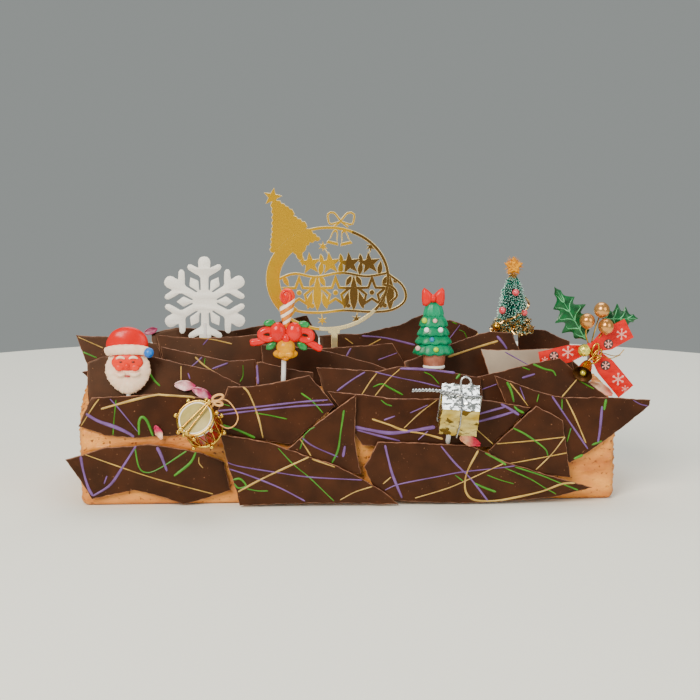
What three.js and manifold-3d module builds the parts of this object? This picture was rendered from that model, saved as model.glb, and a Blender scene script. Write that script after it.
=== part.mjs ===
// Yule log cake: a frosted log, tiled with broken plates of dark chocolate that carry drizzled lines,
// and decorated with festive picks, petals and a mirror-gold topper.
// Millimetres. +X runs along the log, +Y to the back, +Z up; the origin is the centre of its flat underside.
import * as THREE from "three";
import { mergeVertices } from "three/addons/utils/BufferGeometryUtils.js";
import Module from "manifold-3d";

// Driving dimensions
const LOG_LENGTH = 360;
const LOG_DEPTH = 120;
const LOG_HEIGHT = 75;
const SHOULDER_HEIGHT = 50; // the sides are upright to here, then the top rounds over
const FROSTING_SWELL = 0.8; // how far the spread frosting wanders in and out
const PLATE_THICKNESS = 1.8;
const DRIZZLE_HEIGHT = 0.6;
const GAP = 0.35; // clearance between neighbours
const SLOT_SPREAD = 1.03; // a plate's slot is this much wider than the plate
const STICK_RADIUS = 1.6;
const SOCKET_RADIUS = STICK_RADIUS + GAP;
const HALF_LENGTH = LOG_LENGTH / 2;
const HALF_DEPTH = LOG_DEPTH / 2;

// Materials
const finish = (color, roughness, metalness = 0) =>
  new THREE.MeshStandardMaterial({ color, roughness, metalness });
const FROSTING = finish("#d8a373", 0.75);
const CHOCOLATE = finish("#3f241a", 0.42);
const MILKY_CHOCOLATE = finish("#8d7f73", 0.5);
const MIRROR_GOLD = finish("#c79a2e", 0.12, 1);
const WHITE_PLASTIC = finish("#e9e4df", 0.55);
const RED_PLASTIC = finish("#e0332b", 0.4);
const CLAY_GREEN = finish("#14a86c", 0.5);
const BRISTLE_GREEN = finish("#2f6f63", 0.8);
const LEAF_GREEN = finish("#1f7a45", 0.45);
const BERRY_GOLD = finish("#d9a55e", 0.25, 0.8);
const SILVER_FOIL = finish("#d9dcdc", 0.25, 0.9);
const PETAL_PINK = finish("#d8577f", 0.7);

// Solids
const wasm = await Module();
wasm.setup();

function solidOf(geometry, matrix) {
  const bare = geometry.index ? geometry.toNonIndexed() : geometry.clone();
  bare.deleteAttribute("normal");
  bare.deleteAttribute("uv");
  if (matrix) bare.applyMatrix4(matrix);
  const merged = mergeVertices(bare, 1e-3);
  const vertProperties = merged.attributes.position.array;
  const triVerts = new Uint32Array(merged.index.array);
  return new wasm.Manifold(new wasm.Mesh({ numProp: 3, vertProperties, triVerts }));
}

const joined = (solids) => solids.reduce((sum, piece) => sum.add(piece));

// The largest body of a solid, so that a cut leaves no loose scraps.
const largestBody = (solid) =>
  solid.decompose().reduce((best, body) => (body.volume() > best.volume() ? body : best));

function geometryOf(solid) {
  const { vertProperties, triVerts } = solid.getMesh();
  const geometry = new THREE.BufferGeometry();
  geometry.setAttribute("position", new THREE.BufferAttribute(vertProperties, 3));
  geometry.setIndex(new THREE.BufferAttribute(triVerts, 1));
  return geometry;
}

function meshOf(name, solid, material) {
  const mesh = new THREE.Mesh(geometryOf(largestBody(solid)), material);
  mesh.name = name;
  return mesh;
}

// Position, then turns about X, Y and Z in degrees.
function placed(x, y, z, turnX = 0, turnY = 0, turnZ = 0) {
  const turns = [turnX, turnY, turnZ].map(THREE.MathUtils.degToRad);
  const rotation = new THREE.Matrix4().makeRotationFromEuler(new THREE.Euler(...turns, "ZYX"));
  return new THREE.Matrix4().makeTranslation(x, y, z).multiply(rotation);
}

function ball(centre, radii, around = 10) {
  const geometry = new THREE.SphereGeometry(1, around, Math.round(around * 0.6));
  geometry.scale(...radii);
  return solidOf(geometry, placed(...centre));
}

// A round bar from one point to another, tapering to the second radius.
function bar(from, to, radius, endRadius = radius, around = 8) {
  const start = new THREE.Vector3(...from);
  const along = new THREE.Vector3(...to).sub(start);
  const geometry = new THREE.CylinderGeometry(endRadius, radius, along.length(), around);
  geometry.translate(0, along.length() / 2, 0);
  const up = new THREE.Vector3(0, 1, 0);
  const turn = new THREE.Quaternion().setFromUnitVectors(up, along.normalize());
  return solidOf(geometry, new THREE.Matrix4().compose(start, turn, new THREE.Vector3(1, 1, 1)));
}

// A flat piece cut from a sheet that stands in the XZ plane, centred on y = 0.
const STANDING = new THREE.Matrix4().makeRotationX(Math.PI / 2);

function sheet(corners, thickness, holes = []) {
  const shape = new THREE.Shape(corners.map(([x, z]) => new THREE.Vector2(x, z)));
  shape.holes = holes.map((hole) => new THREE.Path(hole.map(([x, z]) => new THREE.Vector2(x, z))));
  const geometry = new THREE.ExtrudeGeometry(shape, { depth: thickness, bevelEnabled: false });
  geometry.translate(0, 0, -thickness / 2);
  return solidOf(geometry, STANDING);
}

const arc = (cx, cz, rx, rz, from, to, steps) =>
  Array.from({ length: steps + 1 }, (_, i) => {
    const angle = THREE.MathUtils.degToRad(from + ((to - from) * i) / steps);
    return [cx + rx * Math.cos(angle), cz + rz * Math.sin(angle)];
  });

const ellipse = (cx, cz, rx, rz, steps) => arc(cx, cz, rx, rz, 0, 360, steps).slice(0, -1);

const star = (cx, cz, radius, points, inner = 0.42, turn = 90) =>
  Array.from({ length: points * 2 }, (_, i) => {
    const angle = THREE.MathUtils.degToRad(turn + (i * 180) / points);
    const r = i % 2 ? radius * inner : radius;
    return [cx + r * Math.cos(angle), cz + r * Math.sin(angle)];
  });

// A line of even width drawn through some points, mitred at its bends.
function stroke(points, width, thickness) {
  const at = points.map(([x, z]) => new THREE.Vector2(x, z));
  const headings = at.slice(1).map((point, i) => point.clone().sub(at[i]).normalize());
  const edge = (sign) => at.map((point, i) => {
    const before = headings[Math.max(i - 1, 0)];
    const after = headings[Math.min(i, headings.length - 1)];
    const middle = before.clone().add(after).normalize();
    const reach = (sign * width) / 2 / Math.max(middle.dot(after), 0.6);
    return [point.x - middle.y * reach, point.y + middle.x * reach];
  });
  return sheet([...edge(-1), ...edge(1).reverse()], thickness);
}

// The log: an arched section carried along X, with frosting that wanders a little.
function frostedLog() {
  const half = HALF_DEPTH;
  const rise = LOG_HEIGHT - SHOULDER_HEIGHT;
  const top = arc(0, SHOULDER_HEIGHT, half, rise, 0, 180, 12);
  const outline = [[-half, 0], [-half, 12], [-half, 31], ...top.reverse(), [half, 31], [half, 12], [half, 0]];
  const points = [...new Map(outline.map((p) => [p.join(), p])).values()].reverse();
  const shape = new THREE.Shape(points.map(([y, z]) => new THREE.Vector2(y, z)));
  const geometry = new THREE.ExtrudeGeometry(shape, { depth: LOG_LENGTH, steps: 20, bevelEnabled: false });
  geometry.translate(0, 0, -HALF_LENGTH);
  const lying = new THREE.Matrix4().set(0, 0, 1, 0, 1, 0, 0, 0, 0, 1, 0, 0, 0, 0, 0, 1);
  geometry.applyMatrix4(lying);
  const position = geometry.attributes.position;
  for (let i = 0; i < position.count; i++) {
    const [x, y, z] = [position.getX(i), position.getY(i), position.getZ(i)];
    const lift = Math.min(1, z / 12);
    const wave = Math.sin(x / 17 + z / 9) + Math.sin(x / 7.3 - z / 13 + y / 21);
    const swell = (FROSTING_SWELL * lift * wave) / 2;
    const out = z > SHOULDER_HEIGHT ? Math.abs(y) / half : 1;
    position.setY(i, y + Math.sign(y) * swell * out);
    if (z > SHOULDER_HEIGHT) position.setZ(i, z + swell * (1 - out));
  }
  return solidOf(geometry);
}

// Chocolate plates. Each stands in a plane that passes y at the given height and leans back by some
// degrees; corners are [x, z] on the front elevation, and drizzle is [width, ...points] likewise.
const FRONT = { height: 42, lean: 1 };
const SHOULDER = { height: 42, lean: 6 };
const PROUD = { height: 42, lean: 2.5 };
const CROWN = { height: 75, lean: 14 };

const PLATES = {
  front_plate_1: {
    plane: { ...FRONT, y: -62.6 },
    corners: [[-189, 32], [-163, 40], [-133, 42], [-100, 36], [-84, 29], [-80, 10], [-112, 1],
      [-144, 11], [-172, 5], [-180, 19]],
    drizzle: [[1.7, [-179, 35], [-175, 13], [-171, 8]], [1.7, [-171, 8], [-160, 14], [-142, 40]],
      [2, [-128, 40], [-122, 23]], [1.7, [-103, 35], [-107, 29], [-118, 20]]],
  },
  front_plate_2: {
    plane: { ...FRONT, y: -70.5, yaw: -1.4, x: 0 },
    corners: [[-86, 49], [-52, 43], [-10, 28], [23, 9], [32, 1], [-74, 1], [-76, 11]],
    drizzle: [[1.3, [-75, 12], [-60, 18], [-29, 32]], [1.3, [-78, 18], [-70, 14], [-75, 12]],
      [1.1, [-81, 25], [-67, 20], [-30, 4]]],
  },
  front_plate_3: {
    plane: { ...FRONT, y: -68.8, yaw: -1.2, x: 40 },
    corners: [[18, 43], [80, 40], [103, 29], [162, 11], [138, 5], [87, 1], [31, 3], [15, 13], [9, 26]],
    drizzle: [[1.7, [23, 40], [28, 19], [34, 5]], [1.3, [84, 37], [77, 20], [82, 3], [103, 3], [148, 12]],
      [1.2, [60, 40], [92, 2]], [1.3, [83, 14], [98, 8]], [1.3, [90, 34], [103, 28]]],
  },
  shoulder_plate_1: {
    plane: { ...SHOULDER, y: -62.2 },
    corners: [[-180, 54], [-171, 73], [-133, 75], [-103, 73], [-84, 69], [-87, 48], [-140, 46],
      [-163, 48]],
    drizzle: [[2.4, [-175, 61], [-156, 53], [-145, 48]],
      [1.7, [-165, 65], [-143, 71], [-112, 73], [-104, 71]],
      [1.7, [-140, 48], [-138, 60], [-132, 48]]],
  },
  shoulder_plate_2: {
    plane: { ...SHOULDER, y: -64.6 },
    corners: [[-89, 49], [-90, 59], [-81, 80], [-64, 80], [-27, 87], [-10, 66], [-39, 41], [-63, 44]],
    drizzle: [[1.2, [-71, 78], [-64, 67], [-58, 47]], [1.2, [-87, 64], [-60, 66], [-15, 69]],
      [1.2, [-87, 60], [-12, 66]], [1.7, [-86, 55], [-77, 52], [-64, 46]]],
  },
  shoulder_plate_3: {
    plane: { ...PROUD, y: -66.9 },
    corners: [[4, 75], [-22, 56], [-45, 36], [-34, 25], [7, 21], [3, 44]],
    drizzle: [[1.3, [-4, 64], [-8, 38], [-11, 30]], [2, [-4, 40], [-5, 33]]],
  },
  shoulder_plate_4: {
    plane: { ...SHOULDER, y: -64.6 },
    corners: [[-15, 76], [27, 71], [86, 70], [121, 64], [114, 57], [94, 38], [60, 39], [8, 40], [-6, 64]],
    drizzle: [[2.4, [4, 46], [14, 44], [27, 41], [56, 46]], [1.3, [15, 52], [62, 42]],
      [1.7, [86, 54], [112, 62]], [2, [103, 66], [114, 60]]],
  },
  shoulder_plate_5: {
    plane: { ...PROUD, y: -67.1 },
    corners: [[124, 66], [142, 56], [148, 17], [100, 23], [92, 36], [108, 51]],
    drizzle: [[1.3, [111, 50], [126, 40], [132, 33]]],
  },
  shoulder_plate_6: {
    plane: { ...SHOULDER, y: -62.2 },
    corners: [[97, 85], [124, 75], [143, 70], [203, 68], [202, 64], [162, 34], [148, 26], [131, 42],
      [106, 64]],
    drizzle: [[1.7, [106, 80], [111, 67]], [1.3, [136, 70], [144, 60], [162, 38]],
      [1.7, [171, 64], [168, 40]], [1.7, [173, 66], [172, 60]]],
  },
  crown_plate_1: {
    plane: { ...CROWN, y: -50 },
    corners: [[-175, 94], [-164, 98], [-133, 98], [-113, 93], [-93, 89], [-73, 79], [-75, 56], [-173, 56]],
    drizzle: [[1.3, [-133, 87], [-125, 78]]],
  },
  crown_plate_2: {
    plane: { ...CROWN, y: -46.5 },
    corners: [[-62, 93], [-58, 93], [-33, 87], [-24, 86], [-24, 56], [-63, 56]],
    drizzle: [[1.7, [-61, 91], [-60, 79]]],
  },
  crown_plate_3: {
    plane: { ...CROWN, y: -50 },
    corners: [[-22, 90], [20, 87], [34, 90], [61, 88], [89, 82], [92, 56], [-13, 56]],
    drizzle: [[1.7, [34, 89], [58, 87], [71, 84]], [1.2, [11, 87], [-8, 75]], [1.2, [17, 77], [36, 72]]],
  },
  crown_plate_4: {
    plane: { ...CROWN, y: -46 },
    corners: [[79, 80], [106, 86], [144, 94], [158, 82], [176, 68], [177, 56], [82, 56]],
    drizzle: [[1.3, [126, 88], [139, 83]], [1.3, [118, 79], [127, 82]]],
  },
  crown_plate_5: {
    plane: { ...CROWN, y: -22 },
    corners: [[-128, 100], [-105, 95], [-81, 90], [-63, 91], [-62, 66], [-125, 66]],
    drizzle: [[1.2, [-105, 93], [-86, 81]]],
  },
  crown_plate_6: {
    plane: { ...CROWN, y: -22 },
    corners: [[-59, 101], [-17, 97], [9, 90], [30, 83], [31, 66], [-59, 66]],
    drizzle: [],
  },
  crown_plate_7: {
    plane: { ...CROWN, y: -30 },
    corners: [[92, 98], [119, 97], [147, 98], [153, 82], [147, 66], [102, 66]],
    drizzle: [],
    pale: true,
  },
  crown_plate_8: {
    plane: { ...CROWN, y: -18 },
    corners: [[40, 88], [74, 100], [100, 108], [116, 107], [121, 96], [124, 66], [44, 66]],
    drizzle: [[1.5, [71, 92], [105, 102]], [1.7, [104, 105], [111, 97]]],
  },
  crown_plate_9: {
    plane: { ...CROWN, y: -6 },
    corners: [[-188, 106], [-167, 105], [-132, 100], [-128, 89], [-126, 66], [-172, 66]],
    drizzle: [],
  },
  crown_plate_10: {
    plane: { ...CROWN, y: 6 },
    corners: [[-133, 104], [-109, 102], [-59, 104], [-57, 92], [-59, 66], [-127, 66]],
    drizzle: [[1.2, [-101, 102], [-80, 98]]],
  },
  crown_plate_11: {
    plane: { ...CROWN, y: 6 },
    corners: [[-16, 94], [34, 97], [42, 83], [45, 66], [-14, 66]],
    drizzle: [[1.2, [3, 94], [0, 88]]],
  },
  crown_plate_12: {
    plane: { ...CROWN, y: 36 },
    corners: [[-139, 101], [-121, 105], [-81, 102], [-59, 106], [-26, 113], [-18, 98], [-15, 62], [-133, 62]],
    drizzle: [],
  },
  crown_plate_13: {
    plane: { ...CROWN, y: 40 },
    corners: [[-17, 98], [14, 99], [42, 105], [63, 114], [68, 95], [64, 62], [-13, 62]],
    drizzle: [[1.3, [16, 97], [52, 92]]],
  },
  crown_plate_14: {
    plane: { ...CROWN, y: 36 },
    corners: [[71, 108], [79, 109], [88, 106], [99, 101], [104, 87], [100, 62], [72, 62]],
    drizzle: [],
  },
  crown_plate_15: {
    plane: { ...CROWN, y: 30 },
    corners: [[128, 103], [148, 102], [166, 94], [170, 62], [129, 62]],
    drizzle: [],
  },
  back_plate_1: {
    plane: { ...FRONT, y: -62.6, behind: true },
    corners: [[-184, 30], [-150, 41], [-92, 38], [-96, 12], [-118, 1], [-160, 3], [-176, 12]],
    drizzle: [[1.7, [-170, 30], [-140, 12], [-112, 30]], [1.3, [-150, 36], [-126, 6]]],
  },
  back_plate_2: {
    plane: { ...FRONT, y: -65.2, behind: true },
    corners: [[-104, 33], [-60, 46], [-8, 36], [4, 8], [-30, 1], [-92, 2]],
    drizzle: [[1.7, [-90, 26], [-40, 12], [-10, 24]], [1.3, [-70, 40], [-52, 6]]],
  },
  back_plate_3: {
    plane: { ...FRONT, y: -62.6, behind: true },
    corners: [[2, 40], [64, 45], [92, 30], [96, 6], [60, 1], [8, 4], [10, 22]],
    drizzle: [[1.7, [12, 30], [50, 20], [84, 34]], [1.3, [30, 40], [44, 6]]],
  },
  back_plate_4: {
    plane: { ...FRONT, y: -65.2, behind: true },
    corners: [[84, 38], [120, 44], [186, 31], [178, 10], [150, 1], [100, 3]],
    drizzle: [[1.7, [96, 30], [130, 14], [168, 26]], [1.3, [118, 40], [140, 8]]],
  },
  back_shoulder_plate_1: {
    plane: { ...SHOULDER, y: -62.2, behind: true },
    corners: [[-188, 62], [-170, 79], [-120, 74], [-112, 60], [-124, 46], [-168, 47]],
    drizzle: [[1.7, [-176, 66], [-150, 54], [-122, 66]]],
  },
  back_shoulder_plate_2: {
    plane: { ...SHOULDER, y: -64.6, behind: true },
    corners: [[-128, 72], [-84, 82], [-46, 76], [-40, 52], [-70, 49], [-112, 48]],
    drizzle: [[1.7, [-118, 66], [-80, 56], [-50, 70]], [1.3, [-96, 78], [-84, 52]]],
  },
  back_shoulder_plate_3: {
    plane: { ...SHOULDER, y: -62.2, behind: true },
    corners: [[-50, 71], [-14, 84], [30, 74], [36, 54], [6, 48], [-38, 49]],
    drizzle: [[1.7, [-38, 56], [-8, 72], [28, 60]]],
  },
  back_shoulder_plate_4: {
    plane: { ...SHOULDER, y: -64.6, behind: true },
    corners: [[24, 78], [70, 73], [108, 82], [112, 60], [92, 49], [44, 49]],
    drizzle: [[1.7, [34, 70], [66, 56], [104, 68]], [1.3, [60, 72], [76, 52]]],
  },
  back_shoulder_plate_5: {
    plane: { ...SHOULDER, y: -62.2, behind: true },
    corners: [[102, 70], [140, 82], [192, 70], [172, 50], [116, 47]],
    drizzle: [[1.7, [116, 66], [150, 56], [176, 66]]],
  },
};

// From the plate's own plane (x along, y up the plate, z out of its face) to the cake.
function planeMatrix({ height, lean, y, yaw = 0, x = 0, behind = false }) {
  const matrix = placed(x, y, height, 90 - lean, 0, yaw);
  return behind ? placed(0, 0, 0, 0, 0, 180).multiply(matrix) : matrix;
}

function plateSolid({ plane, corners, drizzle }, extra = 0) {
  const slope = Math.cos(THREE.MathUtils.degToRad(plane.lean));
  const flat = ([x, z]) => [x - (plane.x ?? 0), (z - plane.height) / slope];
  const matrix = planeMatrix(plane);
  const upright = STANDING.clone().invert();
  const lay = (solid, lift) =>
    solidOf(geometryOf(solid), matrix.clone().multiply(placed(0, 0, lift)).multiply(upright));
  if (extra > 0) {
    const middle = [0, 1].map((i) => corners.reduce((sum, corner) => sum + corner[i], 0) / corners.length);
    const spread = corners.map((corner) => corner.map((v, i) => middle[i] + (v - middle[i]) * SLOT_SPREAD));
    return lay(sheet(spread.map(flat), PLATE_THICKNESS + 2 * extra), 0);
  }
  const slab = lay(sheet(corners.map(flat), PLATE_THICKNESS), 0);
  const rib = PLATE_THICKNESS / 2 + DRIZZLE_HEIGHT;
  return drizzle.reduce((plate, [width, ...points]) => {
    const line = stroke(points.map(flat), width, rib);
    return plate.add(lay(line, rib / 2));
  }, slab);
}

// Sticks of the picks: each runs from under its decoration into the log.
const STICKS = {
  bearded_head: { from: [-147, -55.5, 80], to: [-147, -55.5, 46] },
  snowflake: { from: [-99, 20, 100], to: [-99, 20, 55] },
  candle: { from: [-43, -53, 98], to: [-45.5, -53, 46] },
  clay_tree: { from: [58.4, -37, 90], to: [58.4, -37, 52] },
  brush_tree: { from: [118.5, 10, 108], to: [118.5, 10, 55] },
  holly: { from: [166, -36, 98], to: [166, -36, 52] },
  drum: { from: [-96.6, -78.5, 55], to: [-96, -50, 41] },
  gift_box: { from: [65.8, -77, 60], to: [65, -57, 30] },
};
const TOPPER = { x: -10, y: 22, z: 142, foot: 56, stakeWidth: 4.6, thickness: 1.2 };

const stickOf = (name) => bar(STICKS[name].from, STICKS[name].to, STICK_RADIUS);
const sockets = Object.values(STICKS).map(({ from, to }) => {
  const length = Math.hypot(...to.map((v, i) => v - from[i]));
  const bottom = to.map((v, i) => v + ((v - from[i]) * GAP) / length);
  return bar(from, bottom, SOCKET_RADIUS);
});
const stakeSlot = solidOf(
  new THREE.BoxGeometry(TOPPER.stakeWidth + 2 * GAP, TOPPER.thickness + 2 * GAP, 80),
  placed(TOPPER.x + 3, TOPPER.y, TOPPER.foot + 40 - GAP),
);
const openings = joined([...sockets, stakeSlot]);

const grown = Object.entries(PLATES).map(([name, plate]) => [name, plateSolid(plate, GAP)]);

// The log with a slot for each plate that is pushed into it, and a hole for each stick.
const slottedLog = () => frostedLog().subtract(joined(grown.map(([, solid]) => solid))).subtract(openings);

function buildPlates() {
  return Object.entries(PLATES).map(([name, plate]) => {
    const neighbours = joined(grown.filter(([other]) => other !== name).map(([, solid]) => solid));
    const core = plateSolid({ ...plate, drizzle: [] });
    const ribs = plateSolid(plate).subtract(neighbours);
    const solid = core.add(largestBody(ribs)).subtract(openings);
    return meshOf(name, solid, plate.pale ? MILKY_CHOCOLATE : CHOCOLATE);
  });
}

// A flat-backed cast head: beard, face of plain round features, hat with a rolled brim and a bobble.
function beardedHead() {
  const head = new THREE.Vector3(-147, -56, 92);
  const at = (dx, dy, dz) => [head.x + dx, head.y + dy, head.z + dz];
  return joined([
    ball(at(0, 0, -1), [15.5, 4.2, 15.5], 12),
    ball(at(0, -2.4, 4.5), [10.5, 3, 6.5], 10),
    ball(at(0, -5, 2.5), [1.8, 1.5, 1.6], 6),
    ball(at(-4.2, -4.6, -1), [4.6, 2, 2], 6),
    ball(at(4.2, -4.6, -1), [4.6, 2, 2], 6),
    ball(at(0, 0, 15), [13.5, 4.2, 12.5], 8),
    ball(at(0, -0.6, 11.6), [16.2, 4.9, 4.4], 8),
    ball(at(14.2, -0.8, 12.2), [3.4, 3.4, 3.4], 8),
    stickOf("bearded_head"),
  ]);
}

// A snowflake of six arms with side twigs, and a pointed petal between each pair of arms.
function snowflake() {
  const [x, y, z] = [-99, 20, 127.4];
  const reach = 26.5;
  const arms = Array.from({ length: 6 }, (_, i) => {
    const arm = joined([
      stroke([[0, 0], [0, reach]], 4.4, 2),
      sheet(ellipse(0, reach - 0.5, 4.3, 4.6, 7), 2),
      stroke([[0, 14], [-8.4, 21.5]], 3.8, 2),
      stroke([[0, 14], [8.4, 21.5]], 3.8, 2),
    ]);
    return arm.rotate([0, i * 60, 0]);
  });
  const petals = Array.from({ length: 6 }, (_, i) =>
    sheet([[-3.4, 8], [-2.2, 16], [0, 19.5], [2.2, 16], [3.4, 8]].reverse(), 2).rotate([0, 30 + i * 60, 0]),
  );
  const hub = sheet(ellipse(0, 0, 7.6, 7.6, 10), 2);
  return joined([hub, ...arms, ...petals]).translate([x, y, z]).add(stickOf("snowflake"));
}

// A mirror-gold cut-out: a hoop with a leaning fir, a crescent, a bow with bells, and two rows of stars
// and leaves between bands.
function goldTopper() {
  const thick = TOPPER.thickness;
  const hoop = sheet(ellipse(-1.4, 0.3, 44.2, 37.6, 24), thick,
    [ellipse(-1.4, 0.3, 42.2, 35.6, 24).reverse()]);
  const fir = sheet([[-40.4, 58], [-33, 52], [-24.6, 46.3], [-16.4, 38], [-6.6, 28.4], [-16, 24.2],
    [-20.6, 13.2], [-27.6, 22], [-42.2, 19.6]].reverse(), thick);
  const outerCurve = arc(-1.4, 0.3, 42.8, 36.2, 135, 225, 4);
  const crescent = sheet([...outerCurve, ...arc(4, 0, 40, 26, 225, 135, 4)], thick);
  const bells = [[3.2, 30.4], [10.6, 30]].map(([x, z]) =>
    sheet([[x - 4, z - 5.5], [x + 4, z - 5.5], [x + 2.6, z + 2], [x, z + 5.5], [x - 2.6, z + 2]], thick));
  const bow = [-1, 1].map((side) =>
    stroke([[7.8, 42], [7.8 + side * 8, 47], [7.8 + side * 8.6, 39.6], [7.8, 37]], 1.7, thick));
  const bands = [
    stroke([[-40, -2], [-26, 4], [-10, 1.6], [8, 4.6], [26, 2], [41, 4]], 2, thick),
    stroke([[-37, -13], [-25, -22], [-8, -24], [10, -22.4], [30, -23.6], [44, -22], [53, -15], [51, -5],
      [41, 3.6]], 2, thick),
  ];
  const bigStars = [-22, 4, 30].map((x) => sheet(star(x, -10, 13.2, 5), thick));
  const leaves = [-9, 17, 43].map((x) => sheet([[x - 4.6, -10], [x, -23], [x + 4.6, -10], [x, 4]], thick));
  const smallStars = [-14, 0, 14, 28].map((x) => sheet(star(x, 11, 8.4, 5), thick));
  const flakes = [[-4.9, 23.5], [29, 23], [19, -28.6], [-5.6, -29.6]].map(([x, z]) =>
    sheet(star(x, z, 3.8, 5, 0.5), thick));
  const hangers = [
    stroke([[-4.9, 23.5], [-1, 18]], 1.4, thick),
    stroke([[29, 23], [28, 18]], 1.4, thick),
    stroke([[19, -28.6], [20, -23]], 1.4, thick),
    stroke([[-5.6, -29.6], [-6, -24]], 1.4, thick),
  ];
  const tip = sheet(star(-40.4, 58.4, 6.6, 5), thick);
  const stakeFoot = TOPPER.foot - TOPPER.z;
  const stake = sheet([[0.7, -35.6], [5.3, -35.6], [4.2, stakeFoot], [1.8, stakeFoot]].reverse(), thick);
  const pieces = [hoop, fir, crescent, tip, ...bells, ...bow, ...bands, ...bigStars, ...leaves,
    ...smallStars, ...flakes, ...hangers, stake];
  return joined(pieces).translate([TOPPER.x, TOPPER.y, TOPPER.z]);
}

// A striped candle with a flame, on a red bow with leaves and a bell.
function candlePick() {
  const [x, y] = [-42.3, -53];
  const loops = [-1, 1].map((side) => {
    const centre = x + side * 13.4;
    const ring = sheet(ellipse(0, 0, 6.6, 5.4, 8), 5, [ellipse(0.4 * side, 0, 2.6, 1.3, 6).reverse()]);
    return ring.translate([centre, y, 113.4]);
  });
  return joined([
    ball([x, y, 139.2], [4.6, 3.2, 6.2], 6),
    bar([x, y, 114], [x + 0.8, y, 134.4], 1.4, 5, 8),
    ...[-1, 1].map((side) => ball([x + side * 6, y - 0.5, 115.6], [5.6, 3.6, 6.6], 6)),
    ...loops,
    bar([x - 16, y, 110], [-65.5, y, 107.4], 3, 2.4, 6),
    bar([x + 16, y, 110], [-18.8, y, 101.8], 3, 2.4, 6),
    ...[[-52.8, 121], [-30, 120.4], [-52, 106.6], [-31.8, 105.8]].map(([lx, lz]) =>
      ball([lx, y - 0.4, lz], [5, 2.2, 3], 6)),
    ball([-42.8, y - 0.6, 104.4], [7.4, 4, 6.6], 8),
    ball([-42.8, y - 0.6, 99.6], [8.4, 4.2, 3], 8),
    stickOf("candle"),
  ]);
}

// A soft-clay fir of four bulging tiers on a pot, with a bow on top.
function clayTree() {
  const [x, y] = [57.6, -37];
  const tiers = [[13.6, 97.6, 103.8], [12.4, 102.8, 110], [11, 109, 117], [9, 116, 124]];
  const bulges = tiers.map(([radius, low, high]) => {
    const middle = (low + high) / 2;
    return ball([x, y, middle + 1], [radius, radius * 0.62, (high - low) * 0.72], 10);
  });
  return joined([
    ...bulges,
    ball([x, y, 124.5], [6.8, 4.6, 8], 8),
    bar([x + 0.8, y, 88.6], [x + 0.8, y, 99], 6.4, 7.6, 10),
    bar([x + 0.8, y, 86.6], [x + 0.8, y, 89], 7.4, 7.4, 10),
    ...[-1, 1].map((side) => bar([x, y - 1, 134], [x + side * 6.4, y - 1, 135], 2.2, 5.6, 8)),
    ball([x, y - 1.6, 134], [3.2, 3, 3.4], 6),
    stickOf("clay_tree"),
  ]);
}

// A bottle-brush fir: wound bristles in a ragged cone, round beads and a tinsel skirt. Each ring is a
// height and a radius.
const BRISTLE_RINGS = [[2, 15.2], [7.8, 12.8], [13.6, 12], [19.4, 11], [25.2, 9.6], [31, 7.6], [36.4, 5.2]];

function brushTree() {
  const [x, y, foot, top] = [118.5, 10, 105, 40];
  const steps = BRISTLE_RINGS.flatMap(([height, radius]) => [[radius, height], [radius * 0.8, height + 3.2]]);
  const profile = [[0, 0], ...steps, [0, top]].map(([r, h]) => new THREE.Vector2(r, h));
  const cone = new THREE.LatheGeometry(profile, 9);
  const beads = [[1.6, -7.4, 29], [-7.8, -8.4, 16.4], [7.9, -8.8, 14.5], [-11.9, -8, 5]];
  return joined([
    solidOf(cone, placed(x, y, foot, 90)),
    ...beads.map(([dx, dy, dz]) => ball([x + dx, y + dy, foot + dz], [2.6, 2.6, 2.6], 6)),
    stickOf("brush_tree"),
  ]);
}

const brushStar = () => sheet(star(0, 0, 7.6, 5, 0.5), 2.4).translate([119.6, 10, 151.8]);

// Holly: leaves with spined edges, berries, a three-ended ribbon on a knot, and a small bell.
function leaf(base, tip, halfWidth, y) {
  const [bx, bz] = base;
  const [dx, dz] = [tip[0] - bx, tip[1] - bz];
  const reach = Math.hypot(dx, dz);
  const spines = [[0, 0.16], [0.14, 0.62], [0.26, 0.46], [0.4, 1], [0.52, 0.66], [0.66, 0.86],
    [0.78, 0.36], [1, 0]];
  const side = (sign) => spines.map(([t, w]) => {
    const offset = sign * w * halfWidth;
    return [bx + dx * t - (dz / reach) * offset, bz + dz * t + (dx / reach) * offset];
  });
  const outline = [...side(-1), ...side(1).reverse().slice(1, -1)];
  return sheet(outline, 1.2).warp((v) => {
    v[1] += 2.2 * Math.sin(v[2] / 7 + v[0] / 9);
  }).translate([0, y, 0]);
}

function ribbonArm(from, to, width) {
  const [x, z] = from;
  const angle = Math.atan2(to[1] - z, to[0] - x);
  const [nx, nz] = [-Math.sin(angle) * width / 2, Math.cos(angle) * width / 2];
  const [fx, fz] = [nx * 0.55, nz * 0.55];
  return sheet([[x - fx, z - fz], [to[0] - nx, to[1] - nz], [to[0] + nx, to[1] + nz], [x + fx, z + fz]], 1.4);
}

const BERRIES = {
  holly_berry_1: { centre: [162.6, -41, 119.2], radius: 5.3 },
  holly_berry_2: { centre: [172.6, -40, 126.6], radius: 5.4 },
  holly_berry_3: { centre: [174.9, -43.6, 115.9], radius: 5.4 },
};
const KNOT = [166, -36, 99.5];

// A wire from the knot that stops just short of its berry.
function berryWire({ centre, radius }) {
  const start = new THREE.Vector3(...KNOT);
  const along = new THREE.Vector3(...centre).sub(start);
  const end = start.clone().addScaledVector(along, 1 - (radius + GAP) / along.length());
  return bar(KNOT, end.toArray(), 0.7, 0.7, 6);
}

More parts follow.
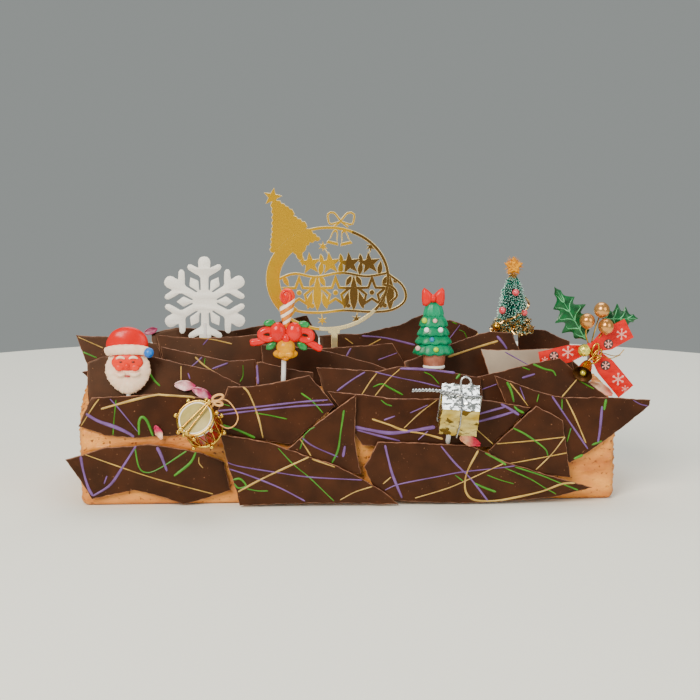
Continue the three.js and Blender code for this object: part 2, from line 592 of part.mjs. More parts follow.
function hollyRibbon() {
  const knot = [KNOT[0], KNOT[2]];
  const arms = [[[131.5, 91.6], 11.6], [[192, 114], 14], [[191.6, 70.6], 12.8]].map(([end, width]) =>
    ribbonArm(knot, end, width).translate([0, KNOT[1], 0]));
  const wires = Object.values(BERRIES).map(berryWire);
  return joined([...arms, ball(KNOT, [4, 2.4, 4], 8), ...wires, stickOf("holly")]);
}

// A small bell hung from the knot, built on its axis and then leaned.
function bell(x, y, z, radius, turnX, turnY) {
  const profile = [[0, -1], [1, -1], [0.82, -0.55], [0.6, 0.1], [0.5, 0.55], [0.22, 0.9], [0, 0.95]];
  const points = profile.map(([r, h]) => new THREE.Vector2(r * radius, h * radius));
  return solidOf(new THREE.LatheGeometry(points, 12), placed(x, y, z, 90 + turnX, turnY));
}

// A toy drum with rims, ball pins and two crossed sticks; its axis runs out of the front skin.
function toyDrum() {
  const [radius, length] = [12.7, 19];
  const axis = new THREE.Vector3(-0.27, -0.78, 0.57).normalize();
  const front = new THREE.Vector3(-101.1, -91.5, 64.8);
  const turn = new THREE.Quaternion().setFromUnitVectors(new THREE.Vector3(0, 1, 0), axis);
  const matrix = new THREE.Matrix4().compose(front, turn, new THREE.Vector3(1, 1, 1));
  const [skin, waist] = [radius - 1.8, radius - 1];
  const profile = [[0, 0.4], [skin, 0.4], [skin + 0.4, 1.2], [radius, 1.2], [radius, -1.6], [waist, -2],
    [waist, 2 - length], [radius, 1.6 - length], [radius, -length], [0, -length]];
  const shell = new THREE.LatheGeometry(profile.reverse().map(([r, h]) => new THREE.Vector2(r, h)), 12);
  const pins = Array.from({ length: 7 }, (_, i) => {
    const angle = (i * Math.PI * 2) / 7 + 0.35;
    const [u, v] = [Math.cos(angle), Math.sin(angle)].map((part) => part * (radius + 1));
    const rim = new THREE.Vector3(u, -0.4, v).applyMatrix4(matrix);
    return ball(rim.toArray(), [1.9, 1.9, 1.9], 6);
  });
  const across = (x, z) => new THREE.Vector3(x, 1.2, z).applyMatrix4(matrix).toArray();
  const beaters = [
    bar(across(-5.2, 9), across(7.2, -9.4), 1.1, 1.1, 6),
    bar(across(-2.4, 10), across(8, -8), 1.1, 1.1, 6),
  ];
  return joined([solidOf(shell, matrix), ...pins, ...beaters, stickOf("drum")]);
}

// A foil-wrapped box, tipped forward on its stick, with wire round both ways and a wire bow.
function giftBox() {
  const side = 24;
  const matrix = placed(70.4, -82.4, 66.8, 35, 0, -3);
  const block = new THREE.BoxGeometry(side + 1, side, side);
  const bandAcross = new THREE.BoxGeometry(side + 2.2, 1.4, side + 1.2);
  const bandAlong = new THREE.BoxGeometry(1.4, side + 1.2, side + 1.2);
  const loops = [-1, 1].map((sign) => {
    const [x, z] = [sign * 4.6, 3.2];
    const ring = sheet(ellipse(x, z, 4.4, 2.6, 8), 1, [ellipse(x, z, 3.2, 1.5, 6).reverse()]);
    return solidOf(geometryOf(ring), matrix.clone().multiply(placed(1.5, 0, side / 2 - 0.2)));
  });
  return joined([solidOf(block, matrix), solidOf(bandAcross, matrix), solidOf(bandAlong, matrix), ...loops,
    stickOf("gift_box")]);
}

// A dried petal: a thin cupped piece with wavy edges.
function petal(x, y, z, length, width, turn, lean) {
  const outline = [[-0.5, 0], [-0.28, 0.36], [0.1, 0.5], [0.4, 0.34], [0.5, 0.04], [0.34, -0.34], [0, -0.46],
    [-0.32, -0.3]].reverse();
  const piece = sheet(outline.map(([u, v]) => [u * length, v * width]), 0.9);
  const cupped = piece.warp((v) => {
    v[1] += 1.3 * Math.sin((v[0] / length) * 5) * Math.cos((v[2] / width) * 4);
  });
  return cupped.rotate([lean, turn, 0]).translate([x, y, z]);
}

// Place, length, width, turn and lean back.
const PETALS = {
  petal_1: [-109.8, -51.6, 79.2, 13.6, 6.8, 6, -8],
  petal_2: [-98.6, -53.3, 74.4, 14, 6.2, 26, -8],
  petal_3: [-127, -63.8, 50.2, 10, 4.6, 64, 0],
  petal_4: [79.3, -70.4, 43.6, 14.6, 6.6, 20, 0],
  petal_5: [172.6, -43.4, 73.2, 18, 7, 28, 6],
  petal_6: [-139.2, 41.2, 102.8, 10, 5, -18, -14],
};

// The cake
const cake = new THREE.Group();
cake.add(meshOf("frosted_log", slottedLog(), FROSTING));
cake.add(...buildPlates());
cake.add(meshOf("bearded_head_pick", beardedHead(), RED_PLASTIC));
cake.add(meshOf("snowflake_pick", snowflake(), WHITE_PLASTIC));
cake.add(meshOf("gold_topper", goldTopper(), MIRROR_GOLD));
cake.add(meshOf("candle_pick", candlePick(), RED_PLASTIC));
cake.add(meshOf("clay_tree_pick", clayTree(), CLAY_GREEN));
cake.add(meshOf("brush_tree_pick", brushTree(), BRISTLE_GREEN));
cake.add(meshOf("brush_tree_star", brushStar(), MIRROR_GOLD));
cake.add(meshOf("holly_leaf_left", leaf([163, 105.6], [141.2, 140.4], 10.5, -33.5), LEAF_GREEN));
cake.add(meshOf("holly_leaf_right", leaf([177.5, 120.6], [198, 121.4], 8.6, -31.5), LEAF_GREEN));
Object.entries(BERRIES).forEach(([name, { centre, radius }]) => {
  cake.add(meshOf(name, ball(centre, [radius, radius, radius], 10), BERRY_GOLD));
});
cake.add(meshOf("holly_ribbon", hollyRibbon(), RED_PLASTIC));
cake.add(meshOf("holly_bell", bell(167.6, -44.8, 88.6, 6, 10, 24), BERRY_GOLD));
cake.add(meshOf("holly_flower", ball([161.4, -43, 99], [4.5, 2.2, 4.5], 10), BERRY_GOLD));
cake.add(meshOf("toy_drum_pick", toyDrum(), MIRROR_GOLD));
cake.add(meshOf("gift_box_pick", giftBox(), SILVER_FOIL));
Object.entries(PETALS).forEach(([name, shape]) => {
  cake.add(meshOf(name, petal(...shape), PETAL_PINK));
});

export default cake;
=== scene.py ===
# Yule log cake: a cream-frosted log tiled with snapped plates of dark chocolate that carry drizzled
# lines, and decorated with festive picks, holly, dried petals and a mirror-gold topper.
# Shapes are worked out in millimetres, +X along the log, +Y to the back, +Z up, and turned to metres.
import math

import bmesh
import bpy
import numpy as np
from mathutils.geometry import tessellate_polygon
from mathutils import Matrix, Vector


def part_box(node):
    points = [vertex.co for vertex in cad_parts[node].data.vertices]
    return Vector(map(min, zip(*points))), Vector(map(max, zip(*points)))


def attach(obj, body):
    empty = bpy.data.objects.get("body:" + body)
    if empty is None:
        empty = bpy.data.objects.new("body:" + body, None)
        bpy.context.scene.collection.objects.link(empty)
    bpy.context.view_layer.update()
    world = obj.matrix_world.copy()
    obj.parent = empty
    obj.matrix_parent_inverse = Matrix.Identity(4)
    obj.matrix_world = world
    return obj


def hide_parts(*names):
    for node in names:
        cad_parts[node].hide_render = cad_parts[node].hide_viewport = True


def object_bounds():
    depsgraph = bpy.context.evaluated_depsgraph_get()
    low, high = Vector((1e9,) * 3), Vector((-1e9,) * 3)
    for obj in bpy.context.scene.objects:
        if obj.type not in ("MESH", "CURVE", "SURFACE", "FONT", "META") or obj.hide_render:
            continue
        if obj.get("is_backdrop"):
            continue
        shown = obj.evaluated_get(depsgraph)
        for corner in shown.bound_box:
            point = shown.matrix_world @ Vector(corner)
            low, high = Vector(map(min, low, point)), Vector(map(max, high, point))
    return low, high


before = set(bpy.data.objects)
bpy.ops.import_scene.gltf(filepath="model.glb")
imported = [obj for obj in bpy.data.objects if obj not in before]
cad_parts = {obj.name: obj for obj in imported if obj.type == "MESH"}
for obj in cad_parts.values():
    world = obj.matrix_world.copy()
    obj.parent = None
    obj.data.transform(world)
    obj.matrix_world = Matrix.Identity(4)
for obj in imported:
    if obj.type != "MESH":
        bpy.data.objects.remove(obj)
cad_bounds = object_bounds()

# ---- Camera ----
# It stands a metre in front of the cake and a little to the left, and looks slightly down at it.
FOCAL_PIXELS, IMAGE_SIDE, SENSOR = 1500.0, 700.0, 36.0
CAMERA_PLACE = (-51.4, -1041.7, 257.0)
CAMERA_TURN, CAMERA_DIP = 3.0, 8.87

camera_data = bpy.data.cameras.new("camera")
camera_data.sensor_width = SENSOR
camera_data.lens = SENSOR * FOCAL_PIXELS / IMAGE_SIDE
camera = bpy.data.objects.new("camera", camera_data)
camera.location = [v / 1000 for v in CAMERA_PLACE]
camera.rotation_euler = (math.radians(90 - CAMERA_DIP), 0, math.radians(-CAMERA_TURN))
bpy.context.scene.collection.objects.link(camera)
bpy.context.scene.camera = camera

# ---- Finishes ----
# The noise levels between which a patch changes colour, and the rise over which a fleck appears.
PATCH_LEVELS, FLECK_EDGE = (0.32, 0.68), 0.05


def linear(hex_colour):
    """An sRGB hex colour as linear red, green, blue and alpha."""
    parts = [int(hex_colour[i : i + 2], 16) / 255 for i in (1, 3, 5)]
    return tuple(c / 12.92 if c <= 0.04045 else ((c + 0.055) / 1.055) ** 2.4 for c in parts) + (1.0,)


def finish(name, dark, light, patch, grain, relief, roughness, stretch=(1, 1, 1), fade=None, flecks=None,
           **shader_values):
    """A finish whose colour drifts from dark to light in patches, with a fine grain of some relief; the
    patch, grain and relief are in mm, and after them comes the roughness.
    A fade is an axis, where along it the fade starts and ends, and the colour that it ends in.
    Flecks are a size, the noise level past which one shows, a height that is negative for a pit, and a
    colour."""
    material = bpy.data.materials.new(name)
    material.use_nodes = True
    tree = material.node_tree
    shader = tree.nodes["Principled BSDF"].inputs

    def node(kind, inputs, output=0, **settings):
        """The output of a new node; inputs maps a socket to its value or to the socket that feeds it."""
        made = tree.nodes.new("ShaderNode" + kind)
        for setting, value in settings.items():
            setattr(made, setting, value)
        for socket, value in inputs.items():
            if isinstance(value, bpy.types.NodeSocket):
                tree.links.new(value, made.inputs[socket])
            else:
                made.inputs[socket].default_value = value
        return made.outputs[output]

    def noise(vector, size, detail=3.0):
        return node("TexNoise", {"Vector": vector, "Scale": 1000 / size, "Detail": detail})

    def mixed(level, low, high, near, far):
        """One colour turns into the other while the level goes from low to high."""
        share = node("MapRange", {0: level, 1: low, 2: high})
        return share, node("Mix", {0: share, 6: near, 7: linear(far)}, 2, data_type="RGBA")

    def bump(height, distance, **under):
        return node("Bump", {"Height": height, "Strength": 1.0, "Distance": distance / 1000, **under})

    for socket, value in shader_values.items():
        shader[socket.replace("_", " ")].default_value = value
    shader["Roughness"].default_value = roughness
    place = node("TexCoord", {}, "Object")
    along = node("Mapping", {"Vector": place, "Scale": stretch})
    _, colour = mixed(noise(along, patch, 4.0), *PATCH_LEVELS, linear(dark), light)
    if fade:
        axis, start, end, far_colour = fade
        across = node("SeparateXYZ", {0: place}, axis)
        _, colour = mixed(across, start / 1000, end / 1000, colour, far_colour)
    normal = bump(noise(along, grain), relief)
    if flecks:
        size, level, height, fleck_colour = flecks
        share, colour = mixed(noise(place, size), level, level + FLECK_EDGE, colour, fleck_colour)
        normal = bump(share, height, Normal=normal)
    tree.links.new(colour, shader["Base Color"])
    tree.links.new(normal, shader["Normal"])
    return material


# ---- Shapes ----
# A shell is points in mm, faces and a material. A piece is one mesh of several shells.
# Corners closer than WELD metres become one. A ball's first and last rings stand POLE_GAP radians off.
WELD, POLE_GAP, TINY = 1e-6, 0.04, 1e-9
STICK_RADIUS = 1.6


def turns(count):
    """Even angles once round."""
    return np.linspace(0, 2 * math.pi, count, endpoint=False)


def unit(vectors):
    """The same directions, each with a length of one."""
    return vectors / np.maximum(np.linalg.norm(vectors, axis=-1, keepdims=True), TINY)


def left_of(heading):
    """What lies square to the left of each heading (across, up)."""
    return np.stack([-heading[..., 1], heading[..., 0]], -1)


def upright(flat, depth):
    """Points (across, up) stood up in the XZ plane at a depth."""
    return np.stack([flat[..., 0], np.broadcast_to(depth, flat.shape[:-1]), flat[..., 1]], -1)


def ring(radius, angle, height, middle=(0, 0), flat=1.0):
    """Points round an upright axis."""
    across, back = middle[0] + radius * np.cos(angle), middle[1] + flat * radius * np.sin(angle)
    return np.stack(np.broadcast_arrays(across, back, height), -1)


def lathe(profile, sides, middle=(0, 0), flat=1.0):
    """Rings of points for a profile of (radius, height) turned about an upright axis."""
    radius, height = np.array(profile).T[:, :, None]
    return ring(radius, turns(sides), height, middle, flat)


def oval(centre, radii, angle):
    """Points (across, up) at some angles round an ellipse."""
    return np.stack([centre[0] + radii[0] * np.cos(angle), centre[1] + radii[1] * np.sin(angle)], -1)


def spun(points, degrees):
    """Points (across, up) turned anticlockwise about the middle."""
    angle = math.radians(degrees)
    cosine, sine = math.cos(angle), math.sin(angle)
    return np.asarray(points, float) @ [[cosine, sine], [-sine, cosine]]


def turned(points, turn=(0, 0, 0), place=(0, 0, 0)):
    """Points turned about X, then Y, then Z in degrees, and moved to a place."""
    points = np.asarray(points, float)
    for axis, degrees in enumerate(turn):
        angle = math.radians(degrees)
        first, second = [i for i in range(3) if i != axis]
        cosine, sine = math.cos(angle), (-1 if axis == 1 else 1) * math.sin(angle)
        moved = points.copy()
        moved[..., first] = points[..., first] * cosine - points[..., second] * sine
        moved[..., second] = points[..., first] * sine + points[..., second] * cosine
        points = moved
    return points + np.asarray(place, float)


def smooth_path(points, step):
    """A curve through the points (a Catmull-Rom spline), sampled at about even steps."""
    points = np.asarray(points, float)
    padded = np.vstack([2 * points[0] - points[1], points, 2 * points[-1] - points[-2]])
    stretches = []
    for before, start, end, after in zip(padded, padded[1:], padded[2:], padded[3:]):
        t = np.linspace(0, 1, max(2, int(np.linalg.norm(end - start) / step)), endpoint=False)[:, None]
        bend = 2 * before - 5 * start + 4 * end - after
        twist = 3 * start - before - 3 * end + after
        stretches.append(0.5 * (2 * start + (end - before) * t + bend * t**2 + twist * t**3))
    return np.vstack(stretches + [points[-1:]])


def wrapped(rows, closed=False):
    """Points and faces of a shell from rows of points that run round it; the ends close to their middles."""
    count, around = rows.shape[:2]
    points = rows.reshape(-1, 3)
    row, column = np.meshgrid(np.arange(count if closed else count - 1), np.arange(around), indexing="ij")
    here, following, beside = row * around, (row + 1) % count * around, (column + 1) % around
    corners = [here + column, here + beside, following + beside, following + column]
    faces = np.stack(corners, -1).reshape(-1, 4).tolist()
    if closed:
        return points, faces
    middle, last = len(points), (count - 1) * around
    pairs = [(spot, (spot + 1) % around) for spot in range(around)]
    faces += [[middle, after, spot] for spot, after in pairs]
    faces += [[middle + 1, last + spot, last + after] for spot, after in pairs]
    return np.vstack([points, rows[0].mean(0), rows[-1].mean(0)]), faces


def two_tone(first, second, rows, rings):
    """Two shells on the same points: the first has so many rings and the middle of their end."""
    points, faces = wrapped(rows)
    around = rows.shape[1]
    split = rings * around
    return [(points, faces[:split] + faces[-2 * around : -around], first),
            (points, faces[split : -2 * around] + faces[-around:], second)]


def ball(material, centre, radii, relief=None, rows=16, around=28):
    """An ellipsoid on rings of latitude about Z; relief gives extra radius for each unit direction."""
    polar, angle = np.meshgrid(np.linspace(POLE_GAP, math.pi - POLE_GAP, rows), turns(around), indexing="ij")
    way = ring(np.sin(polar), angle, np.cos(polar))
    swell = relief(way)[..., None] if relief else 0
    return *wrapped(way * (np.asarray(radii, float) + swell) + centre), material


def tube(material, path, radius, around=8, flat=1.0, reference=(0, 1, 0), closed=False):
    """A round or flattened section carried along a path; its sides stay square to the reference."""
    path = np.asarray(path, float)
    heading = np.roll(path, -1, 0) - np.roll(path, 1, 0) if closed else np.gradient(path, axis=0)
    side = unit(np.cross(heading, reference))
    depth = unit(np.cross(side, heading))
    angle = turns(around)[:, None]
    radius = np.broadcast_to(np.asarray(radius, float), len(path))[:, None, None]
    offset = np.cos(angle) * side[:, None] + flat * np.sin(angle) * depth[:, None]
    return *wrapped(path[:, None] + radius * offset, closed), material


def rod(material, start, end, radius, **options):
    """A straight tube between two points."""
    start, end = np.array(start, float), np.array(end, float)
    return tube(material, [start, (start + end) / 2, end], radius, **options)


def stick(top, foot):
    """A straight moulded stick, rounded off at its top."""
    share = np.array([0, 0.004, 0.02, 1.0])[:, None]
    path = np.array(top, float) + (np.array(foot, float) - top) * share
    return tube(stick_plastic, path, np.array([0.3, 0.8, 1, 1]) * STICK_RADIUS, around=14)


def add_piece(name, shells, node, slot, sharp=40):
    """One mesh in metres from shells, faces out, sharp past an angle. It rides on the one body and takes the
    place of a node of the frame. The slot argument is not used."""
    mesh = bpy.data.meshes.new(name)
    faces, indices, materials, start = [], [], [], 0
    for points, shell_faces, material in shells:
        if material not in materials:
            materials.append(material)
        faces += [[corner + start for corner in face] for face in shell_faces]
        indices += [materials.index(material)] * len(shell_faces)
        start += len(points)
    mesh.from_pydata((np.vstack([points for points, _, _ in shells]) / 1000).tolist(), [], faces)
    mesh.polygons.foreach_set("material_index", indices)
    for material in materials:
        mesh.materials.append(material)
    work = bmesh.new()
    work.from_mesh(mesh)
    bmesh.ops.remove_doubles(work, verts=work.verts, dist=WELD)
    bmesh.ops.recalc_face_normals(work, faces=work.faces)
    work.to_mesh(mesh)
    work.free()
    mesh.polygons.foreach_set("use_smooth", [True] * len(mesh.polygons))
    mesh.set_sharp_from_angle(angle=math.radians(sharp))
    piece = bpy.data.objects.new(name, mesh)
    bpy.context.scene.collection.objects.link(piece)
    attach(piece, "root")
    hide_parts(node)


# ---- Frosted log ----
# A sponge roll trimmed to a log and masked with whipped caramel and chocolate cream. The cream is
# spread along the log with a palette knife, which leaves long shallow strokes and soft ridges.
LOG_LENGTH, LOG_DEPTH, LOG_HEIGHT = 360.0, 120.0, 75.0
SHOULDER_HEIGHT, CORE_HEIGHT = 50.0, 37.0
FOOT_RADIUS, END_ROUNDING = 3.0, 5.0
STROKE_RELIEF, LUMP_RELIEF = 1.1, 1.9
# Lumps grow from TORN_LEAST of their relief to all of it between two distances from the log's middle,
# and all relief fades out below SMOOTH_FOOT.
TORN_FROM, TORN_TO, TORN_LEAST, SMOOTH_FOOT = 148.0, 179.0, 0.22, 10
GRID_STEP = 1.45
KNIFE_SEED, LUMP_SEED = 7, 8


def log_section():
    """The section as (y, z) at even steps: flat foot, upright sides and half an ellipse over the top."""
    half, rise = LOG_DEPTH / 2, LOG_HEIGHT - SHOULDER_HEIGHT
    foot = np.linspace(-math.pi / 2, 0, 7)
    corner = np.stack([half + FOOT_RADIUS * (np.cos(foot) - 1), FOOT_RADIUS * (1 + np.sin(foot))], -1)
    over = np.linspace(0, math.pi, 60)
    top = np.stack([half * np.cos(over), SHOULDER_HEIGHT + rise * np.sin(over)], -1)
    outline = np.vstack([[[0, 0]], corner, top, (corner * [-1, 1])[::-1], [[0, 0]]])
    length = np.concatenate([[0], np.cumsum(np.linalg.norm(np.diff(outline, axis=0), axis=1))])
    steps = np.linspace(0, length[-1], int(length[-1] / GRID_STEP), endpoint=False)
    return np.stack([np.interp(steps, length, outline[:, i]) for i in range(2)], -1)


def knife_strokes(points, rng, count=26):
    """Relief from -1 to 1: a sum of creased waves, each much longer along the log than across it."""
    relief = np.zeros(points.shape[:-1])
    for _ in range(count):
        across = rng.uniform(5, 17)
        direction = rng.normal(size=3) * [0.0, 1, 1]
        direction *= 2 * math.pi / across / np.linalg.norm(direction)
        direction[0] = 2 * math.pi / rng.uniform(45, 160) * rng.choice([-1, 1])
        sway = 1.4 * np.sin(points[..., 0] / rng.uniform(14, 40) + rng.uniform(0, 6))
        wave = np.sin(points @ direction + sway + rng.uniform(0, 6))
        relief += (0.6 - np.abs(wave)) * across / 17
    return relief / np.abs(relief).max()


def torn_lumps(points, rng, count=44):
    """Relief from -1 to 1: a sum of creased waves of 3 to 9 mm that run every way, as in torn cream."""
    relief = np.zeros(points.shape[:-1])
    for _ in range(count):
        length = rng.uniform(3.2, 9.5)
        direction = rng.normal(size=3)
        direction *= 2 * math.pi / length / np.linalg.norm(direction)
        sway = 1.8 * np.sin(points @ rng.normal(0, 0.16, 3) + rng.uniform(0, 6))
        relief += (0.62 - np.abs(np.sin(points @ direction + sway + rng.uniform(0, 6)))) * length / 9.5
    return relief / np.abs(relief).max()


section = log_section()
half_length = LOG_LENGTH / 2
# Along the log: where a section stands, and its size as a share of the full one.
cap = [(half_length, share) for share in np.linspace(0.01, 0.9, 48)]
rounding = np.linspace(0, math.pi / 2, 6)
edge = [(half_length - END_ROUNDING * (1 - math.cos(a)), 1 - 0.1 * (1 - math.sin(a))) for a in rounding]
body = np.arange(half_length - END_ROUNDING - GRID_STEP, 0, -GRID_STEP)
stations = np.array(cap + edge + [(x, 1.0) for x in body])
stations = np.vstack([stations, (stations * [-1, 1])[::-1]])
place, size = stations[:, 0, None, None], stations[:, 1, None, None]
core = np.array([0, CORE_HEIGHT])
spread_section = core + (section - core) * size
rows = np.concatenate([np.broadcast_to(place, spread_section.shape[:2] + (1,)), spread_section], -1)
outward = unit((rows - [0, 0, CORE_HEIGHT]) * np.where(size < 0.95, [1, 0, 0], [0, 1, 1]))
lift = np.clip(rows[..., 2] / SMOOTH_FOOT, 0, 1)
torn_share = (np.abs(rows[..., 0]) - TORN_FROM) / (TORN_TO - TORN_FROM)
torn = TORN_LEAST + (1 - TORN_LEAST) * np.clip(torn_share, 0, 1)
relief = STROKE_RELIEF * knife_strokes(rows, np.random.default_rng(KNIFE_SEED))
relief = (relief + LUMP_RELIEF * torn * torn_lumps(rows, np.random.default_rng(LUMP_SEED))) * lift

# Whipped cream with caramel: matt to satin, a little light passes under the surface. Its darker flecks sit in
# pits: painted shade in the hollows.
frosting = finish("whipped_caramel_cream", "#BC6C22", "#EEA042", 11, 1.7, 0.5, 0.5, stretch=(0.4, 1, 1),
                  flecks=(2.4, 0.63, -0.5, "#8A4414"), Subsurface_Weight=0.1, Subsurface_Scale=0.003)
log_shell = (*wrapped(rows + outward * relief[..., None]), frosting)
add_piece("frosted_log_cream", [log_shell], "frosted_log", "frosting", 80)

# ---- Chocolate plates ----
# Tempered dark chocolate is spread thin on acetate, drizzled with coloured cocoa butter in lines,
# left to set, and snapped into long plates that are pushed into the cream in overlapping rows.
PLATE_THICKNESS, PLATE_STEP, EDGE_SOFTNESS, WAVINESS = 1.8, 2.4, 0.4, 0.45
FACE_TOLERANCE, STRAIGHT = 0.06, 0.01
LINE_STEP, LINES_BEHIND, PLATE_SEED = 1.1, 7, 100
# A plate's face is rings of its outline at these shares of the full size.
FACE_RINGS = (0.1, 0.25, 0.4, 0.55, 0.7, 0.85, 0.95, 1)
# The section of a drizzled line: across as a share of its width, and out as a share of its height.
BEAD = np.array([(-0.5, -0.3), (-0.46, 0.15), (-0.3, 0.7), (0, 1), (0.3, 0.7), (0.46, 0.15), (0.5, -0.3)])
# How a plate stands: the height of its plane's middle, and the degrees that it leans back.
FRONT, SHOULDER, PROUD, CROWN = (42, 1), (42, 6), (42, 2.5), (75, 14)

# Satin face of tempered chocolate, with a faint bloom; a snapped edge is duller, and its paler colour is a
# painted highlight of light falling on the break.
dark_chocolate = finish("tempered_dark_chocolate", "#260E05", "#3A1B0C", 14, 0.9, 0.04, 0.42,
                        flecks=(1.5, 0.70, 0.1, "#7A5238"), Specular_IOR_Level=0.34,
                        Specular_Tint=linear("#FFD8B6"))
# The same dark chocolate coloured pale grey: a painted sheen, the reflection of the bright backdrop on a
# plate that lies flatter.
sheen_painted_chocolate = finish("chocolate_painted_grey_sheen", "#91826F", "#A6957F", 18, 0.9, 0.04, 0.45)
snapped_edge_painted_highlight = finish("snapped_chocolate_edge_painted_highlight", "#5A3420", "#9A6A4C", 3, 0.7, 0.12, 0.6)
# Cocoa butter tinted with food colour: satin, slightly raised lines.
VIOLET = finish("violet_cocoa_butter", "#5C3C72", "#775496", 9, 0.8, 0.05, 0.42)
STRAW = finish("straw_cocoa_butter", "#97762E", "#CCA856", 9, 0.8, 0.05, 0.42)
LIME = finish("lime_cocoa_butter", "#2A6F08", "#43900F", 9, 0.8, 0.05, 0.42)

# Drizzle is drawn as it is seen through the camera: a line is its colour, its width and its points
# (across, down) in the camera's frame, which are carried along the line of sight to the plate's face.
# VIEW_SCALE is about how many of the frame's pixels a millimetre of the cake takes up. Lines are at
# least THINNEST_LINE mm wide, and points closer than POINT_SPACING mm to the last one are left out.
VIEW_SCALE, THINNEST_LINE, POINT_SPACING = 1.489, 0.8, 3.0
